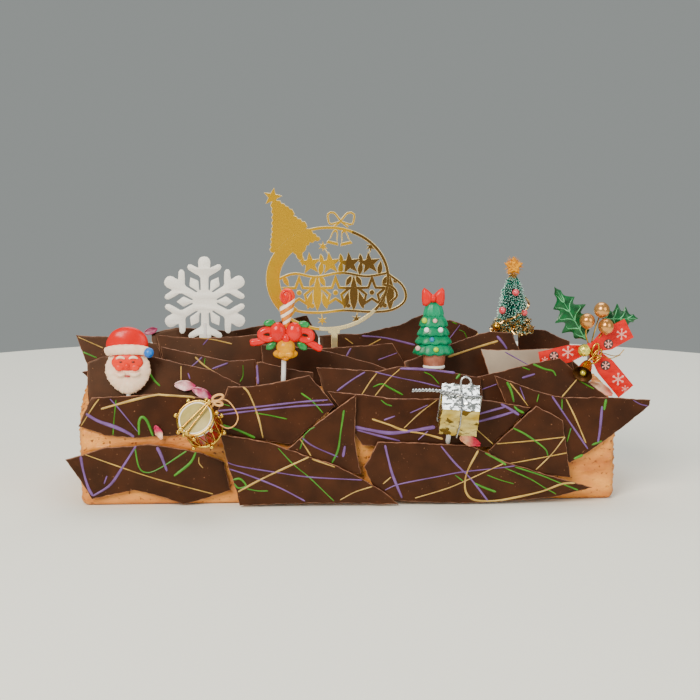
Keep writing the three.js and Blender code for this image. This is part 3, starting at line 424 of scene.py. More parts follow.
# Each plate: how it stands, the Y of its middle, its turn about Z and the X that it turns at, then its
# lines.
PLATES = {
    "front_plate_1": [
        (FRONT, -62.6),
        (VIOLET, 2.5, (80, 453), (83, 470), (88, 487), (93, 496)),
        (VIOLET, 2.5, (93, 496), (110, 485), (122, 468), (136, 446)),
        (VIOLET, 3, (157, 447), (161, 455), (167, 471)),
        (LIME, 1.5, (135, 448), (139, 467), (147, 472.5), (160, 468), (188, 450)),
        (LIME, 2.5, (196, 452), (190, 463), (174, 476)),
        (STRAW, 1.2, (80, 453), (120, 467), (160, 480), (213, 494)),
        (VIOLET, 1.5, (107, 476), (104, 484)),
        (STRAW, 1.2, (199, 457), (199, 463), (203, 468)),
    ],
    "front_plate_2": [
        (FRONT, -70.5, -1.4, 0),
        (VIOLET, 1.3, (226, 462), (240, 466.5), (280, 473), (310, 477), (362, 480)),
        (VIOLET, 1.6, (229, 469), (250, 476), (280, 488), (305, 501)),
        (STRAW, 2, (238, 492), (260, 480), (285, 468), (309, 457)),
        (LIME, 1, (278, 448), (293, 464), (310, 478), (334, 501)),
        (LIME, 2, (233, 480), (240, 479), (246, 486), (246, 490), (238, 488), (233, 482)),
        (LIME, 1.5, (247, 489), (258, 491), (268, 491)),
        (STRAW, 1, (340, 500), (355, 492), (374, 486)),
        (LIME, 1, (226, 469), (229, 476), (231, 484)),
        (STRAW, 1.5, (312, 459), (335, 467)),
    ],
    "front_plate_3": [
        (FRONT, -68.8, -1.2, 40),
        (VIOLET, 2.5, (385, 445), (389, 462), (393, 476), (402, 498)),
        (VIOLET, 1.2, (385, 490), (400, 484), (440, 476), (462, 472), (500, 468), (515, 466)),
        (VIOLET, 1.8, (441, 446), (455, 463), (470, 478), (488, 501)),
        (STRAW, 2, (479, 449), (468, 470), (465, 482), (466, 492), (472, 499), (485, 501),
         (505, 499.5), (540, 492), (562, 484), (575, 483)),
        (STRAW, 1, (415, 498), (445, 489), (465, 481), (505, 463)),
        (LIME, 1.5, (455, 475), (463, 481)),
        (LIME, 2, (474, 483), (485, 488), (496, 492)),
        (LIME, 1.2, (487, 475), (500, 480), (514, 484)),
        (LIME, 2, (485, 453), (500, 461), (506, 465)),
        (LIME, 1.5, (515, 467), (540, 475), (560, 483), (578, 490)),
        (LIME, 1, (505, 468), (530, 479), (545, 488), (556, 494)),
        (STRAW, 1, (383, 484), (391, 477)),
    ],
    "shoulder_plate_1": [
        (SHOULDER, -62.2),
        (VIOLET, 3.5, (86, 414), (98, 421), (115, 427), (128, 433), (134, 437)),
        (STRAW, 1.2, (99, 399), (93, 407), (81, 426)),
        (STRAW, 2.5, (101, 409), (115, 405), (135, 399.5), (150, 396), (165, 394), (182, 394),
         (195, 398)),
        (LIME, 1.2, (116, 400), (114, 420), (113, 435)),
        (VIOLET, 1.2, (110, 399), (120, 410), (138, 432)),
        (LIME, 2.5, (139, 435), (139, 422), (142, 417), (147, 421), (153, 436)),
    ],
    "shoulder_plate_2": [
        (SHOULDER, -64.6),
        (STRAW, 1.8, (243, 387), (248, 392), (254, 405), (259, 420), (263, 438)),
        (VIOLET, 1.8, (218, 411), (260, 406.5), (300, 402), (328, 400)),
        (VIOLET, 1.8, (218, 415), (260, 410), (300, 406), (333, 404.5)),
        (LIME, 1.5, (301, 393), (312, 401), (323, 413)),
        (LIME, 1, (255, 413), (268, 415), (287, 419)),
        (LIME, 2.5, (219, 424), (235, 429), (255, 438)),
        (LIME, 1, (221, 403.5), (230, 406)),
    ],
    "shoulder_plate_3": [
        (PROUD, -66.9),
        (LIME, 2, (344, 410), (341, 430), (338, 450), (332, 463)),
        (VIOLET, 1.5, (301, 437), (313, 446), (338, 457)),
        (STRAW, 1.5, (300, 439), (306, 448), (311, 456)),
        (LIME, 1.5, (315, 427), (306, 432), (303, 440), (300, 449)),
        (VIOLET, 3, (345, 446), (343, 457)),
    ],
    "shoulder_plate_4": [
        (SHOULDER, -64.6),
        (VIOLET, 3.5, (355, 427), (370, 430), (390, 433), (410, 431), (435, 427)),
        (VIOLET, 2, (357, 430), (380, 436), (400, 441)),
        (STRAW, 2, (372, 419), (390, 425), (403, 430), (425, 434), (443, 439)),
        (STRAW, 1, (437, 400), (420, 413), (404, 428)),
        (VIOLET, 1, (410, 413), (428, 405)),
        (VIOLET, 1.5, (384, 420), (395, 416)),
        (LIME, 1.5, (381, 400), (386, 404), (392, 406)),
        (VIOLET, 2, (477, 414.5), (505, 407)),
        (VIOLET, 2.5, (477, 422), (500, 416), (516, 411)),
        (VIOLET, 3, (501, 404), (510, 409), (519, 415)),
        (LIME, 2.5, (514, 406), (518, 410), (524, 413)),
        (STRAW, 1, (475, 428), (493, 444)),
        (VIOLET, 1, (418, 440), (428, 431)),
    ],
    "shoulder_plate_5": [
        (PROUD, -67.1),
        (LIME, 1.8, (513, 428), (525, 434), (538, 443), (546, 450), (548, 456)),
        (STRAW, 1.3, (495, 444), (530, 441), (565, 437)),
        (STRAW, 1.3, (565, 437), (552, 454), (536, 470)),
        (STRAW, 1.2, (507, 464), (530, 460), (567, 453)),
    ],
    "shoulder_plate_6": [
        (SHOULDER, -62.2),
        (LIME, 2.5, (507, 382), (511, 390), (514, 402)),
        (STRAW, 1.2, (510, 383), (520, 395), (528, 406)),
        (VIOLET, 1.2, (520, 387), (525, 400)),
        (LIME, 1, (539, 394), (537, 402)),
        (VIOLET, 1.8, (552, 396), (562, 411), (575, 430), (588, 449)),
        (STRAW, 1.5, (566, 399), (575, 417), (586, 443)),
        (LIME, 1.2, (562, 399), (562, 410)),
        (LIME, 2.5, (606, 399), (604, 410)),
        (VIOLET, 2.5, (602, 406), (600, 430), (598, 443)),
        (LIME, 1.5, (571, 428), (567, 442)),
        (LIME, 3, (574, 459), (583, 455)),
        (LIME, 2, (592, 445), (602, 441)),
        (STRAW, 2.5, (597, 402), (601, 401)),
        (VIOLET, 1, (633, 400), (640, 404), (648, 406)),
    ],
    "crown_plate_1": [
        (CROWN, -50),
        (STRAW, 1.3, (181, 366), (181, 381)),
        (VIOLET, 1.5, (188, 373), (190, 379)),
        (LIME, 2, (149, 372), (154, 380), (160, 386)),
    ],
    "crown_plate_2": [
        (CROWN, -46.5),
        (VIOLET, 2.5, (257, 365), (258, 384)),
    ],
    "crown_plate_3": [
        (CROWN, -50),
        (VIOLET, 1.8, (365, 372), (352, 380), (337, 391)),
        (STRAW, 1.2, (377, 373), (370, 382), (361, 396)),
        (VIOLET, 1.2, (375, 372), (400, 378), (420, 382), (440, 387)),
        (STRAW, 1.2, (400, 369), (388, 380), (375, 396)),
        (LIME, 1.8, (373, 387), (382, 384), (390, 388), (403, 395)),
        (LIME, 1, (424, 372), (432, 376), (439, 384)),
        (VIOLET, 2.5, (400, 368.5), (425, 369.5), (455, 373)),
        (LIME, 2.5, (456, 379), (460, 374)),
    ],
    "crown_plate_4": [
        (CROWN, -46),
        (LIME, 2, (533, 364), (545, 369), (553, 371), (556, 376)),
        (VIOLET, 2, (522, 378), (535, 374)),
        (LIME, 1, (522, 367), (530, 370)),
        (STRAW, 1.5, (579, 377), (562, 397)),
        (LIME, 1, (578, 380), (594, 389)),
        (VIOLET, 1, (478, 391), (497, 384)),
    ],
    "crown_plate_5": [
        (CROWN, -22),
        (VIOLET, 1.5, (202, 357), (198, 361), (190, 368)),
        (STRAW, 1.8, (195, 357), (205, 366), (222, 377)),
        (LIME, 1.2, (205, 358), (204, 366)),
        (VIOLET, 1.8, (228, 363), (212, 369)),
        (LIME, 1, (243, 365), (243, 376), (240, 382)),
    ],
    "crown_plate_6": [(CROWN, -22)],
    "crown_plate_7": [
        (CROWN, -30),
        (VIOLET, 0.8, (505, 352), (530, 366)),
    ],
    "crown_plate_8": [
        (CROWN, -18),
        (STRAW, 2.2, (448, 357), (475, 348), (498, 341)),
        (VIOLET, 2.5, (497, 336), (503, 343), (507, 349)),
    ],
    "crown_plate_9": [
        (CROWN, -6),
        (STRAW, 1, (78, 337), (103, 348)),
        (LIME, 1.5, (83, 352), (97, 358)),
    ],
    "crown_plate_10": [
        (CROWN, 6),
        (STRAW, 1.2, (200, 338), (215, 340), (232, 344)),
        (VIOLET, 1.5, (209, 338), (203, 345)),
    ],
    "crown_plate_11": [
        (CROWN, 6),
        (VIOLET, 1.8, (351, 348), (346, 357)),
        (VIOLET, 1.2, (378, 360), (397, 353)),
    ],
    "crown_plate_12": [(CROWN, 36)],
    "crown_plate_13": [
        (CROWN, 40),
        (VIOLET, 2, (362, 336), (385, 338), (415, 345)),
        (STRAW, 1.2, (381, 339), (366, 347)),
        (STRAW, 1, (345, 338), (353, 344)),
    ],
    "crown_plate_14": [
        (CROWN, 36),
        (LIME, 1, (452, 322), (457, 324)),
        (VIOLET, 1, (460, 325), (450, 338)),
        (LIME, 1.2, (459, 330), (464, 332), (467, 338)),
        (STRAW, 1.2, (478, 333), (474, 340)),
    ],
    "crown_plate_15": [(CROWN, 30)],
}
# The plate whose face carries the painted grey sheen.
SHEEN_PAINTED_PLATE = "crown_plate_7"
# The back has two rows of its own, whose plates stand by turns closer in and further out.
for number in range(4):
    PLATES[f"back_plate_{number + 1}"] = [(FRONT, (-62.6, -65.2)[number % 2])]
for number in range(5):
    PLATES[f"back_shoulder_plate_{number + 1}"] = [(SHOULDER, (-62.2, -64.6)[number % 2])]


def plate_axes(stand, y, yaw=0, middle=0, behind=False):
    """The plate's origin and its directions along, up the plate and out of its face."""
    height, lean = stand[0], math.radians(stand[1])
    ways = [[1, 0, 0], [0, math.sin(lean), math.cos(lean)], [0, -math.cos(lean), math.sin(lean)]]
    axes = np.vstack([[middle, y, height], turned(ways, (0, 0, yaw))])
    return axes * [-1, -1, 1] if behind else axes


def back_outline(node, axes):
    """Corners (along, up) of a plate in the frame: the longest loop of edges that one triangle alone
    has on its back face, without the corners that lie on a straight edge."""
    mesh = bpy.data.objects[node].data
    points = (np.array([vertex.co for vertex in mesh.vertices]) * 1000 - axes[0]) @ axes[1:].T
    edges = set()
    for triangle in mesh.polygons:
        spots = [tuple(np.round(points[i], 2)) for i in triangle.vertices]
        if all(abs(out + PLATE_THICKNESS / 2) < FACE_TOLERANCE for _, _, out in spots):
            flat = [spot[:2] for spot in spots]
            for start, end in zip(flat, flat[1:] + flat[:1]):
                shared = (end, start) in edges
                edges ^= {(end, start) if shared else (start, end)}
    following = dict(edges)
    loops = []
    while following:
        loop = [min(following)]
        while loop[-1] in following:
            loop.append(following.pop(loop[-1]))
        loops.append(np.array(loop[:-1]))
    loop = max(loops, key=lambda corners: np.ptp(corners, axis=0).sum())
    before, after = unit(loop - np.roll(loop, 1, axis=0)), unit(np.roll(loop, -1, axis=0) - loop)
    bend = before[:, 0] * after[:, 1] - before[:, 1] * after[:, 0]
    return loop[np.abs(bend) > STRAIGHT]


def on_face(view_points, axes):
    """Where lines of sight through points of the camera's frame meet the plate's face, as (along, up)."""
    turn, dip = math.radians(CAMERA_TURN), math.radians(CAMERA_DIP)
    forward = np.array([math.sin(turn) * math.cos(dip), math.cos(turn) * math.cos(dip), -math.sin(dip)])
    right = np.array([math.cos(turn), -math.sin(turn), 0])
    across, down = (np.array(view_points, float) - IMAGE_SIDE / 2).T[:, :, None]
    sight = FOCAL_PIXELS * forward + across * right - down * np.cross(right, forward)
    reach = axes[0] + PLATE_THICKNESS / 2 * axes[3] - CAMERA_PLACE
    met = sight * (reach @ axes[3] / (sight @ axes[3]))[:, None] + CAMERA_PLACE
    return (met - axes[0]) @ axes[1:3].T


def spaced(points, least):
    """The points that stand at least so far from the last one kept."""
    kept = [points[0]]
    for point in points[1:]:
        if np.linalg.norm(point - kept[-1]) >= least:
            kept.append(point)
    return kept


def stretches(corners):
    """Each edge of a closed outline as its start, its run to the end, its length and its left side."""
    for start, end in zip(corners, np.roll(corners, -1, axis=0)):
        run = end - start
        length = np.linalg.norm(run)
        yield start, run, length, left_of(run) / length


def snapped_outline(corners, rng):
    """Edges between the corners at even steps, each bowed a little and chipped by fine noise."""
    made = []
    for start, run, length, side in stretches(corners):
        share = np.linspace(0, 1, max(3, int(length / PLATE_STEP)), endpoint=False)
        bow = rng.uniform(-0.018, 0.018) * length * np.sin(share * math.pi)
        chips = rng.normal(0, 0.14, len(share)) * (share > 0)
        made.append(start + np.outer(share, run) + np.outer(bow + chips, side))
    return np.vstack(made)


def facing(outline):
    """Unit normals of a closed outline, from the chord between each point's neighbours."""
    return -left_of(unit(np.roll(outline, -1, axis=0) - np.roll(outline, 1, axis=0)))


def turned_way(loop):
    """Twice the signed area: above zero where the loop runs anticlockwise."""
    following = np.roll(loop, -1, axis=0)
    return np.sum(loop[:, 0] * following[:, 1] - loop[:, 1] * following[:, 0])


def open_middle(corners):
    """The point that sees every edge from the inside at the greatest distance, from a grid of trials."""
    low, high = corners.min(0), corners.max(0)
    trial = np.stack(np.meshgrid(*[np.linspace(a, b, 40) for a, b in zip(low, high)]), -1).reshape(-1, 2)
    normal = left_of(unit(np.roll(corners, -1, axis=0) - corners))
    distance = np.einsum("tci,ci->tc", trial[:, None] - corners, normal)
    return trial[distance.min(1).argmax()]


def lifted(at, out, axes, phase):
    """Points (along, up) of a plate's plane, out from it by some mm and by two slow crossed waves."""
    out = out + WAVINESS * np.sin(at[..., 0] / 19 + phase) * np.cos(at[..., 1] / 13 + 2 * phase)
    return axes[0] + at[..., :1] * axes[1] + at[..., 1:] * axes[2] + out[..., None] * axes[3]


def plate_slab(corners, axes, phase, rng):
    """Rings of the outline from the middle of the face over the soft edge to the middle of the back."""
    if turned_way(corners) < 0:
        corners = corners[::-1]
    middle = open_middle(corners)
    outline = snapped_outline(corners, rng)
    chip = facing(outline) * rng.uniform(0.5, 1.3, len(outline))[:, None] * EDGE_SOFTNESS
    half = PLATE_THICKNESS / 2
    face = [middle + (outline - chip - middle) * share for share in FACE_RINGS]
    soft = outline - chip * 0.3
    rim = [(soft, half * 0.8), (outline, half * 0.4), (outline, -half * 0.4), (soft, -half * 0.8)]
    flat = [(at, half) for at in face] + rim + [(at, -half) for at in face[::-1]]
    out = np.array([height for _, height in flat])[:, None]
    return lifted(np.array([at for at, _ in flat]), out, axes, phase), outline


def inside(points, outline):
    """Which points lie inside the outline, by counting the edges that a ray along x crosses."""
    start, end = outline, np.roll(outline, -1, axis=0)
    rises = (start[:, 1] > points[:, None, 1]) != (end[:, 1] > points[:, None, 1])
    height = np.where(end[:, 1] == start[:, 1], TINY, end[:, 1] - start[:, 1])
    crossing = start[:, 0] + (points[:, None, 1] - start[:, 1]) * (end[:, 0] - start[:, 0]) / height
    return (rises & (points[:, None, 0] < crossing)).sum(1) % 2 == 1


def drizzled_line(colour, points, width, outline, axes, phase, rng):
    """A half-round bead carried along a smooth path on the face, as a list of one shell: a little wider
    and narrower by turns, and thin at its ends. The list is empty where too little is on the plate."""
    path = smooth_path(points, LINE_STEP)
    path = path[inside(path, outline)]
    if len(path) < 4:
        return []
    side = left_of(unit(np.gradient(path, axis=0)))
    travel = np.arange(len(path)) * LINE_STEP
    breadth = width * (1 + 0.16 * np.sin(travel / rng.uniform(3, 6) + rng.uniform(0, 6)))
    breadth = (breadth * np.sqrt(np.clip((np.minimum(travel, travel[::-1]) + 0.3) / 1.2, 0, 1)))[:, None]
    at = path[:, None] + side[:, None] * (BEAD[:, 0] * breadth)[..., None]
    out = PLATE_THICKNESS / 2 + BEAD[:, 1] * (0.22 + 0.16 * breadth)
    return [(*wrapped(lifted(at, out, axes, phase)), colour)]


def free_lines(corners, rng, count):
    """Drizzled lines that cross a plate at random: colour, width and three points from edge to edge."""
    low, high = corners.min(0), corners.max(0)
    for _ in range(count):
        colour = (VIOLET, VIOLET, STRAW, LIME)[rng.integers(4)]
        from_x, to_x = rng.uniform(low[0], high[0], 2)
        middle = rng.uniform(low + (high - low) * 0.3, high - (high - low) * 0.3)
        yield (colour, rng.choice([0.9, 1.3, 1.8]), (from_x, low[1]), tuple(middle), (to_x, high[1]))


for number, (name, (stand, *drizzle)) in enumerate(PLATES.items()):
    rng = np.random.default_rng(PLATE_SEED + number)
    behind = name.startswith("back")
    axes = plate_axes(*stand, behind=behind)
    phase = rng.uniform(0, 6)
    corners = back_outline(name, axes)
    rows, outline = plate_slab(corners, axes, phase, rng)
    points, faces = wrapped(rows)
    around = rows.shape[1]
    rim_start, rim_end = (len(FACE_RINGS) - 1) * around, (len(FACE_RINGS) + 4) * around
    chocolate, slot = dark_chocolate, "dark_chocolate"
    # This plate's face is the painted grey sheen.
    if name == SHEEN_PAINTED_PLATE:
        chocolate, slot = sheen_painted_chocolate, "pale_chocolate"
    # The rim rings take the duller snapped edge, painted paler as a highlight.
    shells = [(points, faces[:rim_start] + faces[rim_end:], chocolate),
              (points, faces[rim_start:rim_end], snapped_edge_painted_highlight)]
    if behind:
        lines = list(free_lines(corners, rng, LINES_BEHIND))
    else:
        lines = [(colour, max(THINNEST_LINE, width / VIEW_SCALE), *spaced(on_face(seen, axes), POINT_SPACING))
                 for colour, width, *seen in drizzle]
    for colour, width, *line in lines:
        if len(line) > 1:
            shells += drizzled_line(colour, line, width, outline, axes, phase, rng)
    add_piece(name + "_drizzled", shells, name, slot)

# ---- Bearded head pick ----
# A flat-backed head cast in soft resin and painted: red hat with a rolled white brim and a blue
# bobble, a plain round face, and a full beard whose locks are cast as grooves. It stands on a stick.
HEAD = np.array([-147.0, -56.0, 92.0])
HEAD_FOOT = (-147, -55.5, 46)
LOCKS = 19

red_resin = finish("painted_red_resin", "#C40804", "#DC120C", 14, 0.8, 0.04, 0.26, Specular_IOR_Level=0.3)
coral_resin = finish("painted_coral_resin", "#DE2208", "#EC3A1C", 9, 0.8, 0.03, 0.34, Specular_IOR_Level=0.3)
cream_resin = finish("painted_cream_resin", "#ECC8A8", "#FFE0C4", 6, 0.7, 0.08, 0.5,
                     Subsurface_Weight=0.1, Subsurface_Scale=0.002)
blue_resin = finish("painted_blue_resin", "#0058B0", "#0078D8", 3, 0.8, 0.06, 0.4)
brown_paint = finish("dark_brown_paint", "#3A1C12", "#4A2618", 2, 0.5, 0.01, 0.35)
rose_paint = finish("rose_paint", "#A83A36", "#B94A44", 2, 0.5, 0.01, 0.35)
stick_plastic = finish("milky_stick_plastic", "#CFCBC6", "#E6E2DC", 8, 0.6, 0.02, 0.4,
                       Subsurface_Weight=0.15, Subsurface_Scale=0.002)


def beard_locks(way):
    """Grooves that fan down from the mouth: a sharpened wave of the angle, stronger towards the rim."""
    angle = np.arctan2(way[..., 0], -way[..., 2] - 0.1)
    reach = np.clip(np.hypot(way[..., 0], way[..., 2]) - 0.35, 0, 1)
    wobble = 0.5 * np.sin(6 * reach + 3 * angle)
    fine = 0.28 * np.sin(4.3 * LOCKS * angle / 2 + 3 * wobble)
    narrowing = 2.4 * np.clip(-way[..., 2], 0, 1) * np.abs(way[..., 0])
    return reach * (0.7 * (0.4 - np.abs(np.sin(LOCKS * angle / 2 + wobble))) + fine) - narrowing


def fleece(way):
    """A knobbly woolly relief: three crossed waves over the ball."""
    return 0.3 * np.sin(13 * way[..., 0]) * np.sin(14 * way[..., 1] + 1) * np.sin(12 * way[..., 2] + 2)


def hat_folds(way):
    """Soft cloth folds that run from the brim up and over to the right."""
    lean = way[..., 0] + 0.8 * way[..., 2]
    return 0.22 * np.sin(5 * lean + 2 * way[..., 2]) * (1 - way[..., 2] ** 2)


def hair_line(side, spread, height, depth, rise, thickness):
    """A short arched roll of hair on the face, from the middle outwards."""
    share = np.linspace(0, 1, 12)
    line = [side * (1.4 + spread * share), depth + 0.7 * share**2, height + rise * np.sin(share * math.pi)]
    taper = np.sin(np.linspace(0.25, math.pi - 0.25, 12)) ** 0.5
    return cream_resin, HEAD + np.stack(line, -1), thickness * taper


brim_turn = np.radians(np.linspace(162, 18, 30))
brim = HEAD + ring(14.1, brim_turn, 10.6 + 2.6 * np.sin(brim_turn), (0, -1.6), -3.0 / 14.1)
brim_breadth = 3.4 + 0.12 * np.sin(np.arange(30) * 1.9)
brim_breadth = brim_breadth * np.sin(np.linspace(0.5, math.pi - 0.5, 30)) ** 0.25
shells = [
    ball(cream_resin, HEAD + [0, 0.2, -2.0], (15.2, 4.8, 16.2), beard_locks, 60, 150),
    ball(coral_resin, HEAD + [0, -3.1, 4.4], (10.4, 2.9, 6.4), None, 22, 36),
    ball(red_resin, HEAD + [0, 0.4, 15.4], (13.9, 4.8, 12.2), hat_folds, 30, 48),
    tube(cream_resin, brim, brim_breadth, around=18, flat=0.8),
    ball(blue_resin, HEAD + [14.4, -5.0, 11.0], 3.3, fleece, 18, 28),
    ball(coral_resin, HEAD + [0, -6.3, 2.4], (1.7, 1.5, 2.0), rows=12),
    ball(rose_paint, HEAD + [0, -5.0, -4.6], (1.9, 0.9, 0.75), rows=10),
    stick(HEAD + [0, 0.5, -14], HEAD_FOOT),
]
for side in (-1, 1):
    shells += [
        ball(coral_resin, HEAD + [side * 5.2, -5.0, 1.2], (3.0, 1.6, 2.4), rows=12),
        ball(brown_paint, HEAD + [side * 4.0, -5.7, 5.0], (1.15, 0.5, 0.6), None, 10, 16),
        tube(*hair_line(side, 5.6, 7.2, -5.9, 1.1, 0.95), around=10),
        tube(*hair_line(side, 6.6, -2.6, -5.4, -1.0, 1.5), around=12),
    ]
add_piece("bearded_head", shells, "bearded_head_pick", "red_plastic", 60)

# ---- Snowflake pick ----
# A flat snowflake cut from two-millimetre white foam and coated with fine glitter: six arms with
# two side twigs each, and six pointed petals that narrow slits part from the arms.
SNOWFLAKE = (-99.0, 20.0, 126.8)
SNOWFLAKE_THICKNESS, SNOWFLAKE_EDGE = 2.0, 0.35
# Half of one arm, then half of the petal beside it, as (across, outwards) from the middle.
HALF_ARM = [(0, 32.0), (2.2, 31.6), (3.7, 30.2), (4.3, 28.0), (4.1, 25.6), (4.2, 23.9), (6.7, 25.0),
            (9.4, 26.4), (11.2, 26.2), (12.0, 24.6), (11.2, 22.8), (7.6, 20.4), (3.8, 18.4),
            (2.8, 16.8), (2.6, 8.6), (3.4, 7.6)]
HALF_PETAL = [(-1.0, 9.6), (-3.4, 14.6), (-3.2, 15.6), (0, 19.8)]

# Fine glitter on white foam: a grainy, faintly creamy white.
glitter = finish("white_glitter", "#F0EEE2", "#FFFFF6", 0.9, 0.6, 0.24, 0.45, Specular_IOR_Level=0.8)


def cut_out(loops, thickness, rim, material, rim_material=None, place=(0, 0, 0)):
    """A flat piece in the XZ plane from its outline and its holes, as two shells: both faces, and the
    softened edge between them as rings at the inset, the full size, the full size and the inset again."""
    half = thickness / 2
    insets, sides, side_faces, start = [], [], [], 0
    for number, loop in enumerate(loops):
        loop = np.asarray(loop, float)
        if (turned_way(loop) > 0) == (number > 0):
            loop = loop[::-1]
        inset = loop - facing(loop) * rim
        insets.append(inset)
        levels = [(inset, -half), (loop, rim * 0.7 - half), (loop, half - rim * 0.7), (inset, half)]
        sides += [upright(at, depth) for at, depth in levels]
        count = len(loop)
        here = np.arange(count)
        beside = (here + 1) % count
        for near in range(start, start + 3 * count, count):
            far = near + count
            side_faces += np.stack([near + here, near + beside, far + beside, far + here], -1).tolist()
        start += 4 * count
    triangles = np.array(tessellate_polygon([[(x, z, 0.0) for x, z in inset] for inset in insets]))
    front = upright(np.vstack(insets), -half)
    points = np.vstack([front, front + [0, thickness, 0]]) + place
    faces = np.vstack([triangles, triangles[:, ::-1] + len(front)]).tolist()
    return [(points, faces, material), (np.vstack(sides) + place, side_faces, rim_material or material)]


# The half arm and half petal, mirrored about the arm, then turned into the six places.
half = np.vstack([HALF_ARM, spun(HALF_PETAL, -30)])
arm = np.vstack([half[:0:-1] * [-1, 1], half[:-1]])
snowflake = np.vstack([spun(arm, -60 * number) for number in range(6)])
shells = cut_out([snowflake], SNOWFLAKE_THICKNESS, SNOWFLAKE_EDGE, glitter, place=SNOWFLAKE)
shells.append(stick((-99, 20, 112), (-99, 20, 55)))
add_piece("snowflake", shells, "snowflake_pick", "white_plastic")

# ---- Gold topper ----
# A hoop cut by laser from mirror acrylic, with a leaning fir, a crescent, a bow with bells, and two
# rows of stars and leaves between bands. The cut edge stays pale, and one stake holds it in the cream.
TOPPER = (-10.0, 22.0, 142.0)
# Each part of the cut is thinner by LAYER_STEP than the one before, so that no two faces coincide.
TOPPER_THICKNESS, LAYER_STEP, CUT_EDGE = 1.2, 0.006, 0.3
HOOP_MIDDLE, HOOP_RADII, CRESCENT_RADII = (-1.4, 0.3), (44.2, 37.6), (42.6, 36.0)
BOW_WIDTH, GARLAND_WIDTH = 1.6, 2.0
# Heights of the big stars' and the small stars' middles above the topper's own.
BIG_STAR_Z, SMALL_STAR_Z = -9.6, 11.2

# Polished mirror film in gold. One copy turns from gold on the left half to deep bronze on the right half:
# the bronze is a painted dark reflection.
mirror_gold = finish("gold_acrylic_painted_dark_reflection", "#DCA818", "#E8B424", 40, 30, 0.0, 0.2,
                     fade=("X", -8, 2, "#6E5020"), Metallic=0.55)
bright_gold = finish("bright_gold_mirror_acrylic", "#DCA818", "#E8B424", 40, 30, 0.0, 0.2, Metallic=0.55)
# A pale copy of the gold film: a painted highlight.
painted_highlight_gold = finish("gold_acrylic_painted_highlight", "#F0D68A", "#FFF2C8", 20, 30, 0.0, 0.15, Metallic=0.7)
cut_edge = finish("pale_laser_cut_edge", "#E6CC84", "#F6E6B0", 6, 0.6, 0.03, 0.35, Metallic=0.3)


def ellipse(centre, radii, count=72, from_angle=0.0, to_angle=360.0):
    """Points (across, up) round an ellipse, or round part of it."""
    angle = np.radians(np.linspace(from_angle, to_angle, count, endpoint=to_angle - from_angle < 360))
    return oval(centre, radii, angle)


def star(centre, radius, tips=5, inner=0.42, turn=90):
    """A star's outline; its inner corners stand at a share of the radius."""
    angle = np.radians(turn + np.arange(2 * tips) * 180 / tips)
    reach = radius * np.where(np.arange(2 * tips) % 2, inner, 1.0)
    return oval(centre, (reach, reach), angle)


def band(points, width, step=2.0):
    """The outline of a line of even width drawn along a smooth path."""
    path = smooth_path(points, step)
    side = left_of(unit(np.gradient(path, axis=0))) * width / 2
    return np.vstack([path - side, (path + side)[::-1]])


def arc_band(radii, width, from_angle, to_angle):
    """Part of a ring round the hoop's middle: the outer curve, then the inner one back."""
    outer, inner = [ellipse(HOOP_MIDDLE, (radii[0] - in_by, radii[1] - in_by), 40, from_angle, to_angle)
                    for in_by in (0, width)]
    return np.vstack([outer, inner[::-1]])


def leaf_blade(base, tip, breadth, count=9):
    """A pointed leaf: its half width is the sine of the share of its length, pulled towards the base."""
    base, tip = np.array(base, float), np.array(tip, float)
    share = np.linspace(0, 1, count)[:, None]
    spine = base + (tip - base) * share
    swell = breadth / 2 * np.sin(math.pi * share**0.85) * left_of(unit(tip - base))
    return np.vstack([spine + swell, (spine - swell)[-2:0:-1]])


def ragged(corners, step=3.2, depth=0.9):
    """A closed outline whose edges carry small teeth, as cut needles."""
    toothed = []
    for start, run, length, side in stretches(np.asarray(corners, float)):
        share = np.linspace(0, 1, max(2, 2 * int(length / step)), endpoint=False)
        out = np.where(np.arange(len(share)) % 2, -depth, 0.0)
        toothed.append(start + np.outer(share, run) + np.outer(out, side))
    return np.vstack(toothed)


def bell_shape(centre, turn):
    """The bell's outline and the hole in it, leaned by some degrees and moved to their place."""
    outer = spun(BELL_OUTLINE, turn)
    return [outer + centre, outer * 0.62 + centre]


FIR = [(-42.2, 19.6), (-33.6, 20.0), (-27.8, 22.2), (-24.4, 17.6), (-20.8, 13.2), (-19.2, 18.8),
       (-16.4, 23.8), (-14.2, 26.2), (-6.6, 28.4), (-14.2, 35.0), (-17.0, 36.0), (-16.4, 39.4),
       (-25.6, 45.2), (-25.6, 48.2), (-36.8, 56.2), (-41.4, 54.6), (-40.4, 46.0), (-40.8, 34.0)]
BELL_OUTLINE = [(-4.2, -5), (-4.4, -6.2), (4.4, -6.2), (4.2, -5), (3, -3), (2.4, 1.5), (1.6, 4), (0, 5),
                (-1.6, 4), (-2.4, 1.5), (-3, -3)]
STAKE = [(-1.6, -35.4), (7.4, -35.4), (7.0, -38.8), (5.4, -39.2), (4.4, -86), (1.8, -86), (0.8, -39.2),
         (-1.2, -38.8)]
LEFT_BOW = [(7.8, 41.4), (3, 47.2), (-1.2, 46.4), (-0.4, 39.8), (3, 39.6), (8, 41.2)]
RIGHT_BOW = [(7.8, 41.4), (12.6, 47), (17.2, 46.2), (16.2, 39.4), (12, 39.6), (7.6, 41.2)]
LEFT_TAIL, RIGHT_TAIL = [(7.6, 41), (3, 37.4)], [(8, 41), (13, 37.0)]
GARLAND_TOP = [(-41, -2), (-26, 4), (-10, 1.6), (8, 4.6), (26, 2), (42, 4.4)]
GARLAND_FOOT = [(-39, -12), (-25, -22), (-8, -24), (10, -22.4), (30, -23.6), (45, -22), (54, -15), (52, -5),
                (41, 4)]
